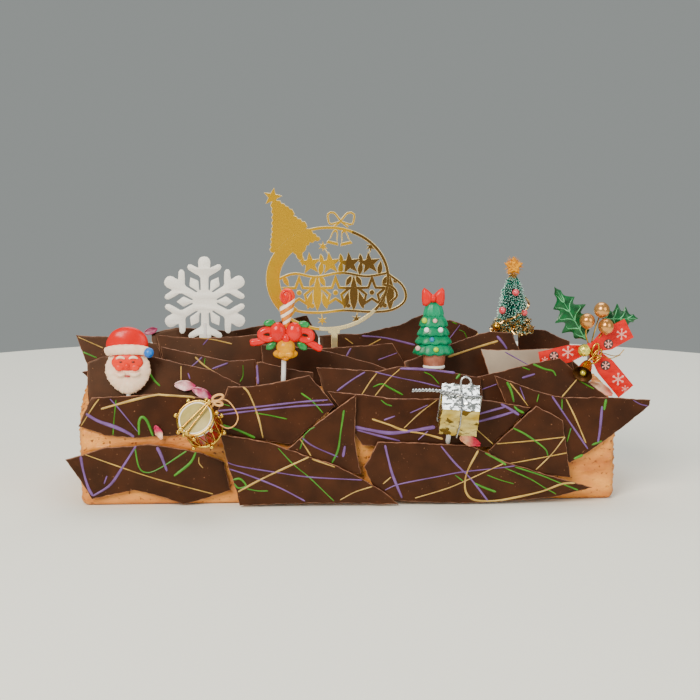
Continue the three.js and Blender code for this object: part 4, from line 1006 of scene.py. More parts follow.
cuts = {
    bright_gold: [
        [arc_band(HOOP_RADII, 2.2, 66, 262)],
        [star((-40.4, 58.4), 7.0, inner=0.45, turn=80)],
        [ragged(FIR)],
        [arc_band(CRESCENT_RADII, 8.4, 132, 231)],
        bell_shape((3.2, 30.8), -14), bell_shape((10.6, 30.4), 12),
        *[[band(line, BOW_WIDTH)] for line in (LEFT_BOW, RIGHT_BOW, LEFT_TAIL, RIGHT_TAIL)],
    ],
    # The lower right of the hoop and the stake are painted pale as a highlight.
    painted_highlight_gold: [[arc_band(HOOP_RADII, 2.8, 261, 322)], [STAKE]],
    # These cuts fade from gold to bronze towards the right: a painted dark reflection.
    mirror_gold: [
        [arc_band(HOOP_RADII, 2.4, 321, 427)],
        [band(GARLAND_TOP, GARLAND_WIDTH)],
        [band(GARLAND_FOOT, GARLAND_WIDTH)],
        [band([(38, -4), (45, -6), (48, -12), (43, -17)], 2.2)],
    ],
}
garland = cuts[mirror_gold]
for middle in (-22, 4, 30):
    garland += [[star((middle, BIG_STAR_Z), 13.4), star((middle, BIG_STAR_Z), 7.4)],
                [ellipse((middle, BIG_STAR_Z), (2.0, 2.0), 16)]]
    for way in (-1, 1):
        garland += [[leaf_blade((middle + way * 6, -21.6), (middle + way * 9.4, -8.4), 4.6)],
                    [leaf_blade((middle + way * 11.4, 2.6), (middle + way * 7.2, -5.4), 4.0)]]
for middle in (-9, 17, 43):
    garland += [[leaf_blade((middle, -23), (middle, 3.6), 6.4)],
                [ellipse((middle - 3.8, -19.0), (1.9, 1.9), 16)],
                [ellipse((middle + 3.8, -1.2), (1.9, 1.9), 16)]]
for middle in (-14, 0, 14, 28):
    garland += [[star((middle, SMALL_STAR_Z), 8.6, turn=96)],
                [leaf_blade((middle + 7, 2.6), (middle + 8.4, 13.4), 4.2)],
                [leaf_blade((middle - 6.6, 18.4), (middle - 5.2, 9.0), 3.4)]]
for spot, hang in (((-4.9, 23.5), (-1, 18)), ((29, 23), (28, 18)), ((19, -28.6), (20, -23)),
                   ((-5.6, -29.6), (-6, -24))):
    middle = ((spot[0] + hang[0]) / 2, (spot[1] + hang[1]) / 2)
    garland += [[star(spot, 3.9, tips=6, inner=0.4)], [band([spot, middle, hang], 0.9)]]
shells = []
layers = [(film, loops) for film, pieces in cuts.items() for loops in pieces]
for layer, (film, loops) in enumerate(layers, 1):
    shells += cut_out(loops, TOPPER_THICKNESS - LAYER_STEP * layer, CUT_EDGE, film, cut_edge, TOPPER)
add_piece("mirror_gold_topper", shells, "gold_topper", "mirror_gold", 15)

# ---- Candle pick ----
# A candle moulded in soft glossy plastic on a stick: a round flame, a tapering candle with slanting
# stripes, a red bow with two lobes, two loops and two tails, four leaves and a bell with a wavy skirt.
CANDLE_X, CANDLE_Y = -41.6, -53.0
BOW_Y = CANDLE_Y - 0.6
CANDLE_TOP, CANDLE_TIP, CANDLE_RADIUS = 134.5, 115.4, 5.0
STRIPE_SLANT, STRIPE_ROWS, STRIPES = 0.62, 7, 7
LEAF_RING = [(-4.2, 0), (-2.6, 1.9), (0.2, 2.5), (2.8, 1.8), (4.2, 0), (2.8, -1.8), (0, -2.5), (-2.6, -1.9)]

glossy_red = finish("glossy_red_plastic", "#C8060A", "#E01814", 10, 2.0, 0.03, 0.2, Specular_IOR_Level=0.35)
flame_orange = finish("flame_orange_plastic", "#F03808", "#FA501C", 6, 2.0, 0.03, 0.22,
                      Specular_IOR_Level=0.35)
flame_red = finish("flame_red_plastic", "#C40804", "#D8140C", 3, 2.0, 0.02, 0.22, Specular_IOR_Level=0.35)
stripe_white = finish("stripe_white_plastic", "#F8D8BE", "#FFEAD6", 4, 1.5, 0.03, 0.3)
stripe_amber = finish("stripe_amber_plastic", "#CC6A00", "#E08400", 4, 1.5, 0.03, 0.3)
stripe_brown = finish("stripe_brown_line", "#9A5A1C", "#B26C28", 2, 1.0, 0.02, 0.4)
leaf_plastic = finish("leaf_green_plastic", "#006E2C", "#088C40", 4, 1.5, 0.05, 0.3, Coat_Weight=0.25)
bell_yellow = finish("bell_yellow_plastic", "#C27A00", "#DE9A00", 8, 1.5, 0.03, 0.22, Specular_IOR_Level=0.2)


def pillow(material, outline, depth, y):
    """A puffed-up shape: rings of the outline that shrink to its middle towards the front and the back."""
    middle = outline.mean(0)
    lift = np.linspace(math.pi / 2 - 0.06, -math.pi / 2 + 0.06, 18)[:, None]
    at = middle + (outline - middle) * np.cos(lift)[..., None] ** 0.7
    return *wrapped(upright(at, y - depth * np.sin(lift))), material


def loop_tube(material, centre, radii, y, turn, radius, around=14):
    """A tube bent into a closed ellipse in the XZ plane, leaned by some degrees."""
    at = spun(oval((0, 0), radii, turns(28)), turn) + centre
    return tube(material, upright(at, y), radius, around=around, closed=True)


def candle_body():
    """Tilted rings whose middle rises up the taper, so that every stripe slants up to the right."""
    share = np.linspace(0, 1, STRIPES * STRIPE_ROWS + 1)[:, None]
    radius = CANDLE_RADIUS * (1 - np.clip(1 - share, 0, 1) ** 1.6) + 0.25
    radius = radius * (1 - 0.05 * (np.arange(len(share))[:, None] % STRIPE_ROWS == 0))
    height = CANDLE_TIP + (CANDLE_TOP - CANDLE_TIP) * share + STRIPE_SLANT * radius * np.cos(turns(40))
    return ring(radius, turns(40), height, (CANDLE_X + 0.4 * share, CANDLE_Y), 0.85)


def scalloped(way):
    """Six soft waves round a bell's skirt."""
    return 0.7 * np.cos(6 * np.arctan2(way[..., 1], way[..., 0]))


candle_rows = candle_body()
points, faces = wrapped(candle_rows)
stripes = {stripe_white: [], stripe_amber: [], stripe_brown: []}
for number, face in enumerate(faces):
    row = min(number // candle_rows.shape[1], STRIPES * STRIPE_ROWS - 1)
    colour = (stripe_white, stripe_amber)[(row // STRIPE_ROWS) % 2]
    stripes[stripe_brown if row % STRIPE_ROWS == 0 else colour].append(face)
shells = [(points, stripe_faces, colour) for colour, stripe_faces in stripes.items()]
shells += [
    ball(flame_orange, (-41.2, CANDLE_Y, 138.6), (5.1, 3.8, 5.7)),
    loop_tube(flame_red, (-41.8, 138.6), (3.0, 4.2), CANDLE_Y - 2.9, 0, 0.8, 8),
    ball(flame_red, (-41.8, CANDLE_Y - 3.1, 138.6), (1.9, 1.2, 3.0)),
    ball(glossy_red, (-47.6, CANDLE_Y - 1.4, 115.0), (5.6, 4.2, 6.7), rows=20),
    ball(glossy_red, (-36.8, CANDLE_Y - 1.4, 115.0), (5.6, 4.2, 6.7), rows=20),
    ball(glossy_red, (-42.3, CANDLE_Y - 3.6, 110.8), (2.6, 2.2, 3.4)),
    loop_tube(glossy_red, (-54.6, 113.4), (4.6, 3.2), BOW_Y, 0, 2.3),
    loop_tube(glossy_red, (-29.6, 112.7), (4.6, 3.2), BOW_Y, -18, 2.3),
    ball(bell_yellow, (-42.4, CANDLE_Y - 2.2, 105.0), (6.3, 4.6, 5.6), rows=20),
    ball(bell_yellow, (-42.7, CANDLE_Y - 1.6, 100.6), (7.6, 5.0, 3.0), scalloped, 20, 48),
    ball(bell_yellow, (-42.9, CANDLE_Y - 2.2, 97.6), (2.6, 2.6, 1.8)),
    stick((-43.6, CANDLE_Y, 99.5), (-45.5, -53, 46)),
]
for tail in ([(-55.6, 110.4), (-60.0, 108.6), (-66.2, 107.8)],
             [(-29.4, 109.6), (-24.6, 106.4), (-18.6, 102.9)]):
    path = upright(smooth_path(tail, 1.2), CANDLE_Y)
    breadth = np.full(len(path), 2.5)
    breadth[[0, -1]] = 1.6
    shells.append(tube(glossy_red, path, breadth, around=12, flat=0.8))
for spot, turn in (((-53.2, 121.2), 8), ((-30.4, 120.0), -8), ((-52.2, 105.8), 34), ((-31.6, 105.6), -38)):
    shells.append(pillow(leaf_plastic, spun(LEAF_RING, turn) + spot, 2.0, BOW_Y))
add_piece("striped_candle", shells, "candle_pick", "red_plastic", 60)

# ---- Clay fir ----
# A little fir modelled in polymer clay: five bulging tiers with pressed scallops, round dots pushed
# in, a brown pot with a white foot ring, and a red bow on top. Baked clay has a soft sheen.
CLAY_FIR = np.array([58.0, -37.0])
FIR_FLATNESS = 0.64
# Lower edge, upper edge and half width of each tier, from the foot upwards.
FIR_TIERS = [(97.0, 104.6, 14.0), (104.4, 110.2, 12.7), (109.9, 116.2, 11.2), (116.0, 123.2, 9.9),
             (122.9, 131.6, 7.2)]
# Up one tier: the share of its height, and its breadth there as a share of the half width.
TIER_PROFILE = [(0.0, 0.5), (0.02, 0.8), (0.07, 0.94), (0.15, 1.0), (0.25, 0.99), (0.4, 0.94), (0.6, 0.85),
                (0.8, 0.72), (0.95, 0.5), (1.0, 0.2)]
# Radius and height of the pot from the bottom up; the first rings are the white foot.
POT = [(0.5, 86.9), (6.6, 86.9), (7.5, 87.6), (7.5, 88.8), (6.9, 89.2), (7.6, 93.4), (8.0, 98.6), (1.0, 98.9)]
POT_SIDES, FOOT_RINGS, POT_FLATNESS = 40, 4, 0.85
# One half of the bow, as (across, up) from its middle.
CLAY_BOW = [(0.4, 2.2), (3.4, 5.2), (6.2, 7.0), (7.6, 5.0), (7.9, -0.6), (7.2, -5.0), (4.4, -5.8),
            (0.4, -2.0)]

green_clay = finish("green_polymer_clay", "#006A40", "#009064", 9, 1.6, 0.10, 0.3, Specular_IOR_Level=0.25)
red_clay = finish("red_polymer_clay", "#CC0A06", "#E01A12", 8, 1.6, 0.06, 0.34, Specular_IOR_Level=0.3)
brown_clay = finish("brown_polymer_clay", "#8A4E38", "#A86850", 6, 1.2, 0.12, 0.55)
white_clay = finish("white_polymer_clay", "#E9EFEA", "#FBFFFC", 3, 1.2, 0.03, 0.4)
lime_clay = finish("lime_polymer_clay", "#94C41C", "#BEE03A", 3, 1.2, 0.03, 0.4)
pink_clay = finish("pink_polymer_clay", "#E7AEA2", "#F6CFC4", 3, 1.2, 0.03, 0.4)
blue_clay = finish("blue_polymer_clay", "#1474A0", "#2A8CB8", 3, 1.2, 0.03, 0.4)


def fir_tier(low, high, breadth, number):
    """Rings up one tier: tucked in below, widest a little above its foot, narrowing to the next; the
    radius and the lower edge wave in scallops round it."""
    share, width = np.array(TIER_PROFILE).T[:, :, None]
    wave = np.abs(np.cos(5 * turns(72) + number * 1.3))
    height = low + (high - low + 1.2) * share - 0.9 * wave * (1 - share)
    return ring(breadth * width * (0.94 + 0.07 * wave), turns(72), height, CLAY_FIR, FIR_FLATNESS)


shells = [(*wrapped(fir_tier(*tier, number)), green_clay) for number, tier in enumerate(FIR_TIERS)]
pot_rows = lathe(POT, POT_SIDES, CLAY_FIR + [0.6, 0], POT_FLATNESS)
shells += two_tone(white_clay, brown_clay, pot_rows, FOOT_RINGS)
for colour, x, z, radius in ((lime_clay, 51.4, 120.4, 1.9), (pink_clay, 58.4, 120.4, 1.5),
                             (white_clay, 52.8, 114.2, 1.8), (white_clay, 62.2, 114.2, 1.8),
                             (blue_clay, 56.2, 107.8, 1.7), (pink_clay, 47.0, 101.6, 1.7),
                             (lime_clay, 59.0, 101.0, 1.8)):
    half_width = max(tier[2] for tier in FIR_TIERS if tier[0] <= z <= tier[1])
    across = min(0.95, abs(x - CLAY_FIR[0]) / half_width)
    front = CLAY_FIR[1] - FIR_FLATNESS * half_width * math.sqrt(1 - across**2) * 0.96
    shells.append(ball(colour, (x, front, z), (radius, radius * 0.8, radius)))
for side in (-1, 1):
    shells.append(pillow(red_clay, np.array(CLAY_BOW) * [side, 1] + [57.6, 135.4], 2.6, -38.0))
shells += [ball(red_clay, (57.5, -39.4, 135.2), (2.2, 2.4, 2.8)), stick((58.4, -37, 88), (58.4, -37, 52))]
add_piece("clay_fir", shells, "clay_tree_pick", "clay_green", 60)

# ---- Bottle-brush fir ----
# Dyed sisal bristles wound between two twisted wires and trimmed to a cone, tipped with white
# flock, with three glass beads and a brass one, gold tinsel as cap, skirt and garland, and a star.
BRUSH_FIR = np.array([119.4, 10.0])
BRUSH_FOOT, BRUSH_TOP, WIRE_FOOT = 105.5, 144.6, 60
# Height above the foot, then how far the bristles reach there.
BRUSH_GIRTH = np.transpose([(0, 15.4), (3, 14.2), (9, 12.6), (20, 11.0), (29, 8.6), (36, 5.8), (39, 3.0)])
BRISTLES, GARLAND_NEEDLES, STAR_HAIRS, BRUSH_SEED = 2600, 110, 110, 31
STAR_MIDDLE = (119.8, 10.0, 151.8)

sisal = finish("teal_sisal_bristle", "#024038", "#0A8068", 3, 0.6, 0.0, 0.7, Specular_IOR_Level=0.2)
flock = finish("white_flock_tip", "#98D4C0", "#E8FFF8", 1.6, 0.6, 0.0, 0.8)
tinsel = finish("gold_tinsel", "#8A6428", "#E2BC72", 1.4, 0.5, 0.0, 0.25, Metallic=0.9)
brass = finish("polished_brass", "#A8741E", "#E0B048", 5, 2, 0.02, 0.22, Metallic=0.95)
glass_bead = finish("pink_glass_bead", "#C02C3A", "#EC5C68", 2, 1, 0.02, 0.12, Coat_Weight=0.5)
# Glitter flakes in tiny patches from dark to bright gold: the glitter's own tone with its glints painted in.
star_glitter_painted_glints = finish("gold_star_glitter_painted_glints", "#8E4600", "#FFB010", 0.9, 0.5, 0.14, 0.4,
                      Specular_IOR_Level=0.25)


def needles(body, end, roots, tips, radius, tip_share=0.0):
    """Three-sided needles from roots to tips; the last share of each is a shell of its own."""
    heading = tips - roots
    side = unit(np.cross(heading, [0.13, 0.29, 0.95]))[:, None]
    angle = turns(3)[:, None]
    circle = side * np.cos(angle) + unit(np.cross(side, heading[:, None])) * np.sin(angle)
    low = roots[:, None] + circle * radius
    middle = (roots + heading * (1 - tip_share))[:, None] + circle * radius * 0.7
    points = np.concatenate([low, middle, tips[:, None]], 1)
    start = (np.arange(len(roots)) * points.shape[1])[:, None]
    sides = [start + [i, (i + 1) % 3, 3 + (i + 1) % 3, 3 + i] for i in range(3)]
    ends = [start + [3 + i, 3 + (i + 1) % 3, 6] for i in range(3)]
    points = points.reshape(-1, 3)
    return [(points, np.vstack(sides).tolist() + (start + [2, 1, 0]).tolist(), body),
            (points, np.vstack(ends).tolist(), end)]


def around_stem(angle, radius, height):
    return ring(radius, angle, height, BRUSH_FIR)


def girth(rise):
    """How far the bristles reach at a height above the foot."""
    return np.interp(rise, *BRUSH_GIRTH)


def tinsel_ring(count, low, high, inner, outer, rng):
    """Short gold slivers that point every way from a ring round the stem."""
    angle = rng.uniform(0, 2 * math.pi, count)
    middle = around_stem(angle, rng.uniform(inner, outer, count), rng.uniform(low, high, count))
    heading = unit(rng.normal(size=(count, 3)))
    heading *= rng.uniform(1.4, 3.0, count)[:, None]
    return needles(tinsel, tinsel, middle - heading / 2, middle + heading, 0.36)


rng = np.random.default_rng(BRUSH_SEED)
rise = (BRUSH_TOP - BRUSH_FOOT) * rng.uniform(0, 1, BRISTLES) ** 1.25
angle = rng.uniform(0, 2 * math.pi, BRISTLES)
reach = girth(rise) * rng.uniform(0.5, 1.03, BRISTLES) ** 0.8
height = BRUSH_FOOT + rise
roots = around_stem(angle, 0.5, height + 0.24 * reach)
tips = around_stem(angle + rng.normal(0, 0.06, BRISTLES), reach, height - 0.06 * reach)
shells = needles(sisal, flock, roots, tips, 0.46, 0.12)
# Skirt, cap and a few slivers above the skirt: how many, from and to which height, from and to how far out.
for span in ((560, 104.4, 109.5, 6.0, 15.0), (70, 142.4, 146.0, 0.4, 3.0), (200, 109.5, 115.0, 8.0, 13.0)):
    shells += tinsel_ring(*span, rng)
swirl = np.linspace(0, 1, GARLAND_NEEDLES)
rise = 8 + 20 * swirl
tinsel_line = around_stem(-2.2 + swirl * 3.4, girth(rise) + 0.4, BRUSH_FOOT + rise)
needle = 1.2 * unit(rng.normal(size=(GARLAND_NEEDLES, 3)))
shells += needles(tinsel, tinsel, tinsel_line - needle / 2, tinsel_line + needle, 0.32)
for colour, x, z, depth, radius in ((glass_bead, 120.3, 134.0, -8.2, 2.5),
                                    (glass_bead, 110.9, 121.4, -8.6, 2.6),
                                    (glass_bead, 126.6, 119.6, -9.2, 2.2),
                                    (brass, 107.0, 110.0, -9.0, 3.2)):
    shells.append(ball(colour, (x, BRUSH_FIR[1] + depth, z), radius))
share = np.linspace(0, 1, 120)
for phase in (0, math.pi):
    twist = around_stem(phase + share * 60, 0.75, WIRE_FOOT + (BRUSH_TOP + 3 - WIRE_FOOT) * share)
    shells.append(tube(tinsel, twist, 0.62, around=6, reference=(1, 0, 0)))
add_piece("bottle_brush_fir", shells, "brush_tree_pick", "bristle_green", 50)

shells = cut_out([star((0, 0), 7.0, inner=0.56)], 2.6, 0.9, star_glitter_painted_glints, place=STAR_MIDDLE)
angle = rng.uniform(0, 2 * math.pi, STAR_HAIRS)
out = np.stack([np.cos(angle), rng.normal(0, 0.25, STAR_HAIRS), np.sin(angle)], -1)
roots = STAR_MIDDLE + out * [3, 1, 3]
tips = roots + out * rng.uniform(2.0, 5.2, STAR_HAIRS)[:, None]
shells += needles(star_glitter_painted_glints, star_glitter_painted_glints, roots, tips, 0.22, 0.4)
add_piece("glitter_star", shells, "brush_tree_star", "mirror_gold", 30)

# ---- Holly spray ----
# Silk holly leaves with pale veins, pearl berries on wires, printed satin ribbon tied to a stick,
# and a gold ball, a wound gold cord and a small brass bell at the knot.
KNOT = np.array([166.0, -36.0, 99.5])
RIBBON_Y, SHEET_THICKNESS, PRINT_THICKNESS = KNOT[1] - 1.2, 0.5, 0.16
BELL_MIDDLE, BELL_LEAN, BELL_SIDES, OUTSIDE_RINGS = (160.6, -47.4, 87.6), (-48, 42), 44, 7
CLAPPER, CLAPPER_RADIUS = (0, 0, -4.6), 2.1

leaf_cloth = finish("dark_green_silk_leaf", "#063F1E", "#0E6230", 5, 0.8, 0.08, 0.3, Specular_IOR_Level=0.35)
leaf_vein = finish("pale_printed_vein", "#2E8A50", "#6CC488", 3, 0.6, 0.02, 0.5)
pearl_gold = finish("pearl_gold_lacquer", "#C48440", "#E4AC68", 12, 3, 0.01, 0.24, Metallic=0.75)
satin_red = finish("red_satin_ribbon", "#C00804", "#DC180C", 7, 0.5, 0.04, 0.36, stretch=(1, 1, 3),
                   Specular_IOR_Level=0.3)
print_white = finish("pale_ribbon_print", "#EC9084", "#F6B4A8", 2, 0.5, 0.02, 0.5)
print_dark = finish("dark_ribbon_print", "#241F1C", "#3A322C", 2, 0.5, 0.02, 0.45)
# The bell's inside is a darker brass: painted shade in its mouth.
painted_shade_inside = finish("brass_inside_painted_shade", "#4A2E12", "#6A441C", 3, 1, 0.03, 0.4, Metallic=0.7)
lemon_gold = finish("lemon_gold_foil", "#BDAA20", "#E8E06A", 3, 1, 0.08, 0.25, Metallic=0.6)


def slab(material, grid):
    """A thin closed sheet: the grid pushed out both ways along its normals, joined round its edge."""
    normal = unit(np.cross(np.gradient(grid, axis=0), np.gradient(grid, axis=1))) * SHEET_THICKNESS / 2
    return *wrapped(np.concatenate([grid + normal, (grid - normal)[:, ::-1]], 1)), material


def holly_leaf(base, tip, half_width, y, spines):
    """A pointed blade whose half width sinks in a curve between spines, cupped, with a vein to each spine."""
    base, run = np.array(base, float), np.subtract(tip, base)
    side = left_of(unit(run))
    share = np.linspace(0.0, 1.0, 14 * spines + 1)
    scallop = 1 - 0.5 * np.sin(math.pi * ((share * spines + 0.5) % 1) ** 1.3)
    width = half_width * (np.sin(math.pi * share**0.8) ** 1.2 * scallop + 0.02 * (1 - share))

    def surface(u, v, lift=0.0):
        """Points at a share u along the leaf and v across it: cupped sides and a raised wave."""
        spot = base + np.multiply.outer(u, run) + (v * np.interp(u, share, width))[..., None] * side
        cupped = 1.5 * v**2 + 0.9 * np.sin(u * 9 + v) * v**2 - 1.2 * np.sin(u * math.pi)
        return upright(spot, y + cupped + lift)

    made = [slab(leaf_cloth, surface(*np.meshgrid(share, np.linspace(-1, 1, 17), indexing="ij")))]
    step = np.linspace(0.02, 0.94, 40)
    made.append(tube(leaf_vein, surface(step, 0 * step, -0.35), 0.5 * (1.1 - step), around=6))
    run_out = np.linspace(0, 1, 10)
    for start in (np.arange(spines) + 0.18) / spines * 0.86:
        for way in (-1, 1):
            line = surface(start + 0.17 * run_out, way * 0.86 * run_out, -0.33)
            made.append(tube(leaf_vein, line, 0.46 * (1.2 - run_out), around=5))
    return made


leaves = [("left", (163.5, 105.0), (141.2, 141.6), 12.6, -33.5, 5),
          ("right", (175.5, 119.5), (199.8, 119.4), 10.6, -31.5, 4)]
for side, *leaf in leaves:
    add_piece(f"holly_leaf_veined_{side}", holly_leaf(*leaf), f"holly_leaf_{side}", "leaf_green", 50)


def faint_swirl(way):
    """The slight unevenness of a lacquered pearl."""
    return 0.03 * np.sin(5 * way[..., 0] + 3 * way[..., 2])


def wound_foil(way):
    """Strands of foil wound slantwise round a ball."""
    return 0.25 * np.sin(16 * way[..., 0] + 9 * way[..., 2])


berry_middles = []
for number in (1, 2, 3):
    low, high = (np.array(corner) * 1000 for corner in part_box(f"holly_berry_{number}"))
    centre, radius = (low + high) / 2, (high[0] - low[0]) / 2
    berry_middles.append(centre)
    shells = [ball(pearl_gold, centre, radius, faint_swirl, 26, 40),
              ball(brass, centre + [0, 0, -radius * 0.97], (1.3, 1.3, 0.7))]
    add_piece(f"pearl_berry_{number}", shells, f"holly_berry_{number}", "berry_gold", 60)


def ribbon_wave(x, z):
    """How far the ribbon stands off its plane, as slow folds across its length."""
    return 0.5 * np.sin(x / 6.5 + z / 11) + 0.3 * np.sin(z / 5 - x / 14)


def ribbon_arm(end, end_width, start_width=5.0):
    """A strip from the knot to its slant-cut end; it widens as it leaves the knot."""
    start = KNOT[[0, 2]]
    run = end - start
    share = np.linspace(0, 1, 34)[:, None, None]
    half = (start_width + (end_width - start_width) * np.clip(share * 2.4, 0, 1)) / 2
    flat = start + run * share + half * np.linspace(-1, 1, 13)[:, None] * left_of(unit(run))
    depth = RIBBON_Y + ribbon_wave(flat[..., 0], flat[..., 1])
    return slab(satin_red, upright(flat, depth))


def printed(shape, centre, lift, colour):
    """A flat printed mark laid on the ribbon, just clear of its weave."""
    made = cut_out([np.asarray(shape) + centre], PRINT_THICKNESS, 0.03, colour)
    for points, _, _ in made:
        points[:, 1] += RIBBON_Y - 0.36 - lift + ribbon_wave(points[:, 0], points[:, 2])
    return made


def flake_marks(centre, radius, lift):
    """Six thin arms with round ends, as print."""
    marks = []
    for number in range(6):
        angle = math.pi / 6 + number * math.pi / 3
        tip = radius * np.array([math.cos(angle), math.sin(angle)])
        marks += printed(band([(0.1, 0), tip / 2, tip], radius * 0.2, 0.6), centre, lift, print_white)
        marks += printed(ellipse(tip * 0.86, (radius * 0.2,) * 2, 10), centre, lift + 0.02, print_white)
    return marks


shells = [ribbon_arm(*arm) for arm in (((131.2, 91.8), 12.0), ((192.4, 113.6), 14.6), ((191.4, 69.6), 13.2))]
for spot in ((140.8, 94.8), (178.2, 102.8), (176.6, 88.0)):
    shells += printed(ellipse((0, 0), (3.3, 3.3), 24), spot, 0.05, print_dark)
    shells += flake_marks(spot, 2.7, 0.2)
for spot, radius in (((150.6, 97.2), 4.2), ((187.4, 109.4), 3.8), ((185.6, 78.4), 4.2), ((134.6, 92.0), 2.2),
                     ((171.6, 95.4), 2.4), ((190.6, 71.4), 2.4)):
    shells += flake_marks(spot, radius, 0.06)
for x, z, depth, turn in ((168.4, 99.6, -5.6, 70), (169.6, 96.2, -5.8, 50), (167.6, 92.8, -6.4, 30)):
    shells.append(loop_tube(brass, (x, z), (4.4, 2.0), KNOT[1] + depth, turn, 0.62, 8))
shells.append(ball(satin_red, KNOT + [0, -1.5, 0], (4.4, 3.2, 4.2)))
wires = [((KNOT + middle) / 2 + [1.5 * (number - 1), 2.0, 0], middle, 0.5)
         for number, middle in enumerate(berry_middles)]
wires += [((183.0, -38.5, 94.6), (189.4, -37.5, 98.9), 0.32),
          ((178.0, -38.0, 93.0), (187.0, -37, 95.0), 0.32)]
for kink, tip, radius in wires:
    shells.append(tube(brass, smooth_path([KNOT, kink, tip], 1.5), radius, around=6))
shells.append(stick(KNOT + [0, 1.5, 0], (166, -36, 52)))
add_piece("printed_holly_ribbon", shells, "holly_ribbon", "red_ribbon", 50)

wound_ball = ball(lemon_gold, (160.6, -43.4, 99.4), (4.3, 3.6, 4.3), wound_foil, 26, 40)
add_piece("gold_knot_ball", [wound_ball], "holly_flower", "berry_gold", 60)


def hung(points):
    """Points leaned with the bell, first about X and then about Y, at its place."""
    return turned(points, (*BELL_LEAN, 0), BELL_MIDDLE)


# Radius and height of the bell, down its outside and up its inside.
BELL_PROFILE = [(0.2, 7.2), (1.6, 7.0), (3.0, 5.6), (3.9, 3.0), (4.4, 0.0), (5.2, -3.2), (6.6, -5.6),
                (6.9, -6.3), (6.2, -6.2), (4.8, -3.6), (4.0, -1.0), (2.0, 0.6), (0.2, 1.0)]
# The inner rings take the darker brass, painted shade inside the mouth.
shells = two_tone(brass, painted_shade_inside, hung(lathe(BELL_PROFILE, BELL_SIDES)), OUTSIDE_RINGS)
shells.append(ball(lemon_gold, hung(CLAPPER), CLAPPER_RADIUS))
add_piece("brass_bell", shells, "holly_bell", "berry_gold", 45)

# ---- Toy drum pick ----
# A tin drum with gilt rims, pale skins and a red and white side, ball pins round both rims, two
# gilt beaters tied across the front skin, and a loop of thread.
DRUM_FRONT = np.array([-101.1, -91.5, 64.8])
DRUM_AXIS = (-0.27, -0.78, 0.57)
DRUM_RADIUS, DRUM_BACK = 12.0, -19.0
SKIN_RADIUS, PIN_REACH = 10.4, 14.2
PINS, LACES = 7, 14

gilt = finish("gilt_tin", "#B47C1C", "#EACA60", 6, 1.2, 0.03, 0.18, Metallic=0.95)
# The skins are pale grey-green; their gold tint is a painted sheen.
drum_skin = finish("drum_skin_painted_gold_sheen", "#A09048", "#B8A860", 9, 0.8, 0.03, 0.5)
drum_white = finish("white_enamel_band", "#EFE7DA", "#FFFBF2", 7, 1, 0.02, 0.3, Coat_Weight=0.3)
drum_red = finish("red_enamel_side", "#6A0A05", "#A4160C", 5, 1, 0.04, 0.25, Coat_Weight=0.4)
thread = finish("peach_gold_thread", "#C8863C", "#E8B470", 2, 0.5, 0.05, 0.5)


def on_drum(points):
    """Points turned so that their Z runs along the drum's axis, and moved to its front."""
    axis = unit(np.array(DRUM_AXIS))
    side = unit(np.cross([0, 0, 1.0], axis))
    across, up, along = np.moveaxis(np.asarray(points, float), -1, 0)[..., None]
    return across * side + up * np.cross(axis, side) + along * axis + DRUM_FRONT


def round_drum(radius, angle, height):
    return on_drum(ring(radius, angle, height))


# Each skin, band and side of the drum as a profile of (radius, height), front to back.
DRUM_PARTS = [
    (drum_skin, [(0.2, 0.5), (SKIN_RADIUS, 0.45), (SKIN_RADIUS + 0.4, 0.2)]),
    (drum_white, [(SKIN_RADIUS, -0.4), (SKIN_RADIUS, 0.7), (DRUM_RADIUS - 0.4, 0.7),
                  (DRUM_RADIUS - 0.4, -0.4)]),
    (drum_white, [(0.2, 0.2), (11.4, 0.2), (11.6, -0.8), (11.6, -3.6), (0.2, -3.6)]),
    (drum_red, [(0.2, -3.5), (11.5, -3.5), (11.3, -9), (11.5, DRUM_BACK + 0.6), (0.2, DRUM_BACK + 0.6)]),
    (drum_skin, [(0.2, DRUM_BACK + 0.8), (11.2, DRUM_BACK + 0.8), (11.2, DRUM_BACK), (0.2, DRUM_BACK)]),
]
shells = [(*wrapped(on_drum(lathe(profile, 60))), material) for material, profile in DRUM_PARTS]
for height in (0.2, DRUM_BACK + 0.2):
    rim = round_drum(DRUM_RADIUS, turns(64), height)
    shells.append(tube(gilt, rim, 0.9, around=12, closed=True, reference=DRUM_AXIS, flat=1.3))
for level, offset in ((-0.4, 0.35), (DRUM_BACK + 1.0, 0.8)):
    for angle in offset + turns(PINS):
        knob = round_drum(PIN_REACH, angle, level)
        shells += [rod(gilt, round_drum(DRUM_RADIUS, angle, level), knob, 0.6, around=6, reference=DRUM_AXIS),
                   ball(gilt, knob, 1.5, rows=12, around=18)]
for angle in turns(LACES):
    lacing = [round_drum(DRUM_RADIUS, angle + step * math.pi / LACES, height)
              for step, height in enumerate((-1.2, DRUM_BACK + 1.6, -1.2))]
    for near, far in zip(lacing, lacing[1:]):
        shells.append(rod(gilt, near, far, 0.32, around=5, reference=DRUM_AXIS))
for foot, head in (((-7.6, -8.6, 1.9), (7.8, 11.4, 3.0)), ((-3.0, -10.8, 1.9), (8.2, 9.6, 3.0))):
    foot, head = on_drum(foot), on_drum(head)
    shells += [rod(gilt, foot, head, 0.6, around=10), ball(gilt, foot, 1.7, rows=14, around=20),
               ball(gilt, head, 1.2, rows=10, around=16)]
for spot, radii, turn in (((-91.0, 73.4), (2.2, 1.2), 50), ((-86.8, 77.6), (3.6, 1.8), 20),
                          ((-86.4, 73.8), (2.6, 1.3), -10)):
    shells.append(loop_tube(thread, spot, radii, -88.6, turn, 0.8, 8))
path = smooth_path([(-90.2, 73.4), (-85.0, 76.4), (-79.4, 74.4), (-74.2, 65.6), (-75.6, 59.4), (-80.6, 56.6),
                    (-85.8, 58.8)], 1.0)
shells += [tube(thread, upright(path, np.linspace(-88.5, -84.0, len(path))), 0.42, around=6),
           stick((-96.6, -78.5, 55), (-96, -50, 41))]
add_piece("gilt_toy_drum", shells, "toy_drum_pick", "mirror_gold")

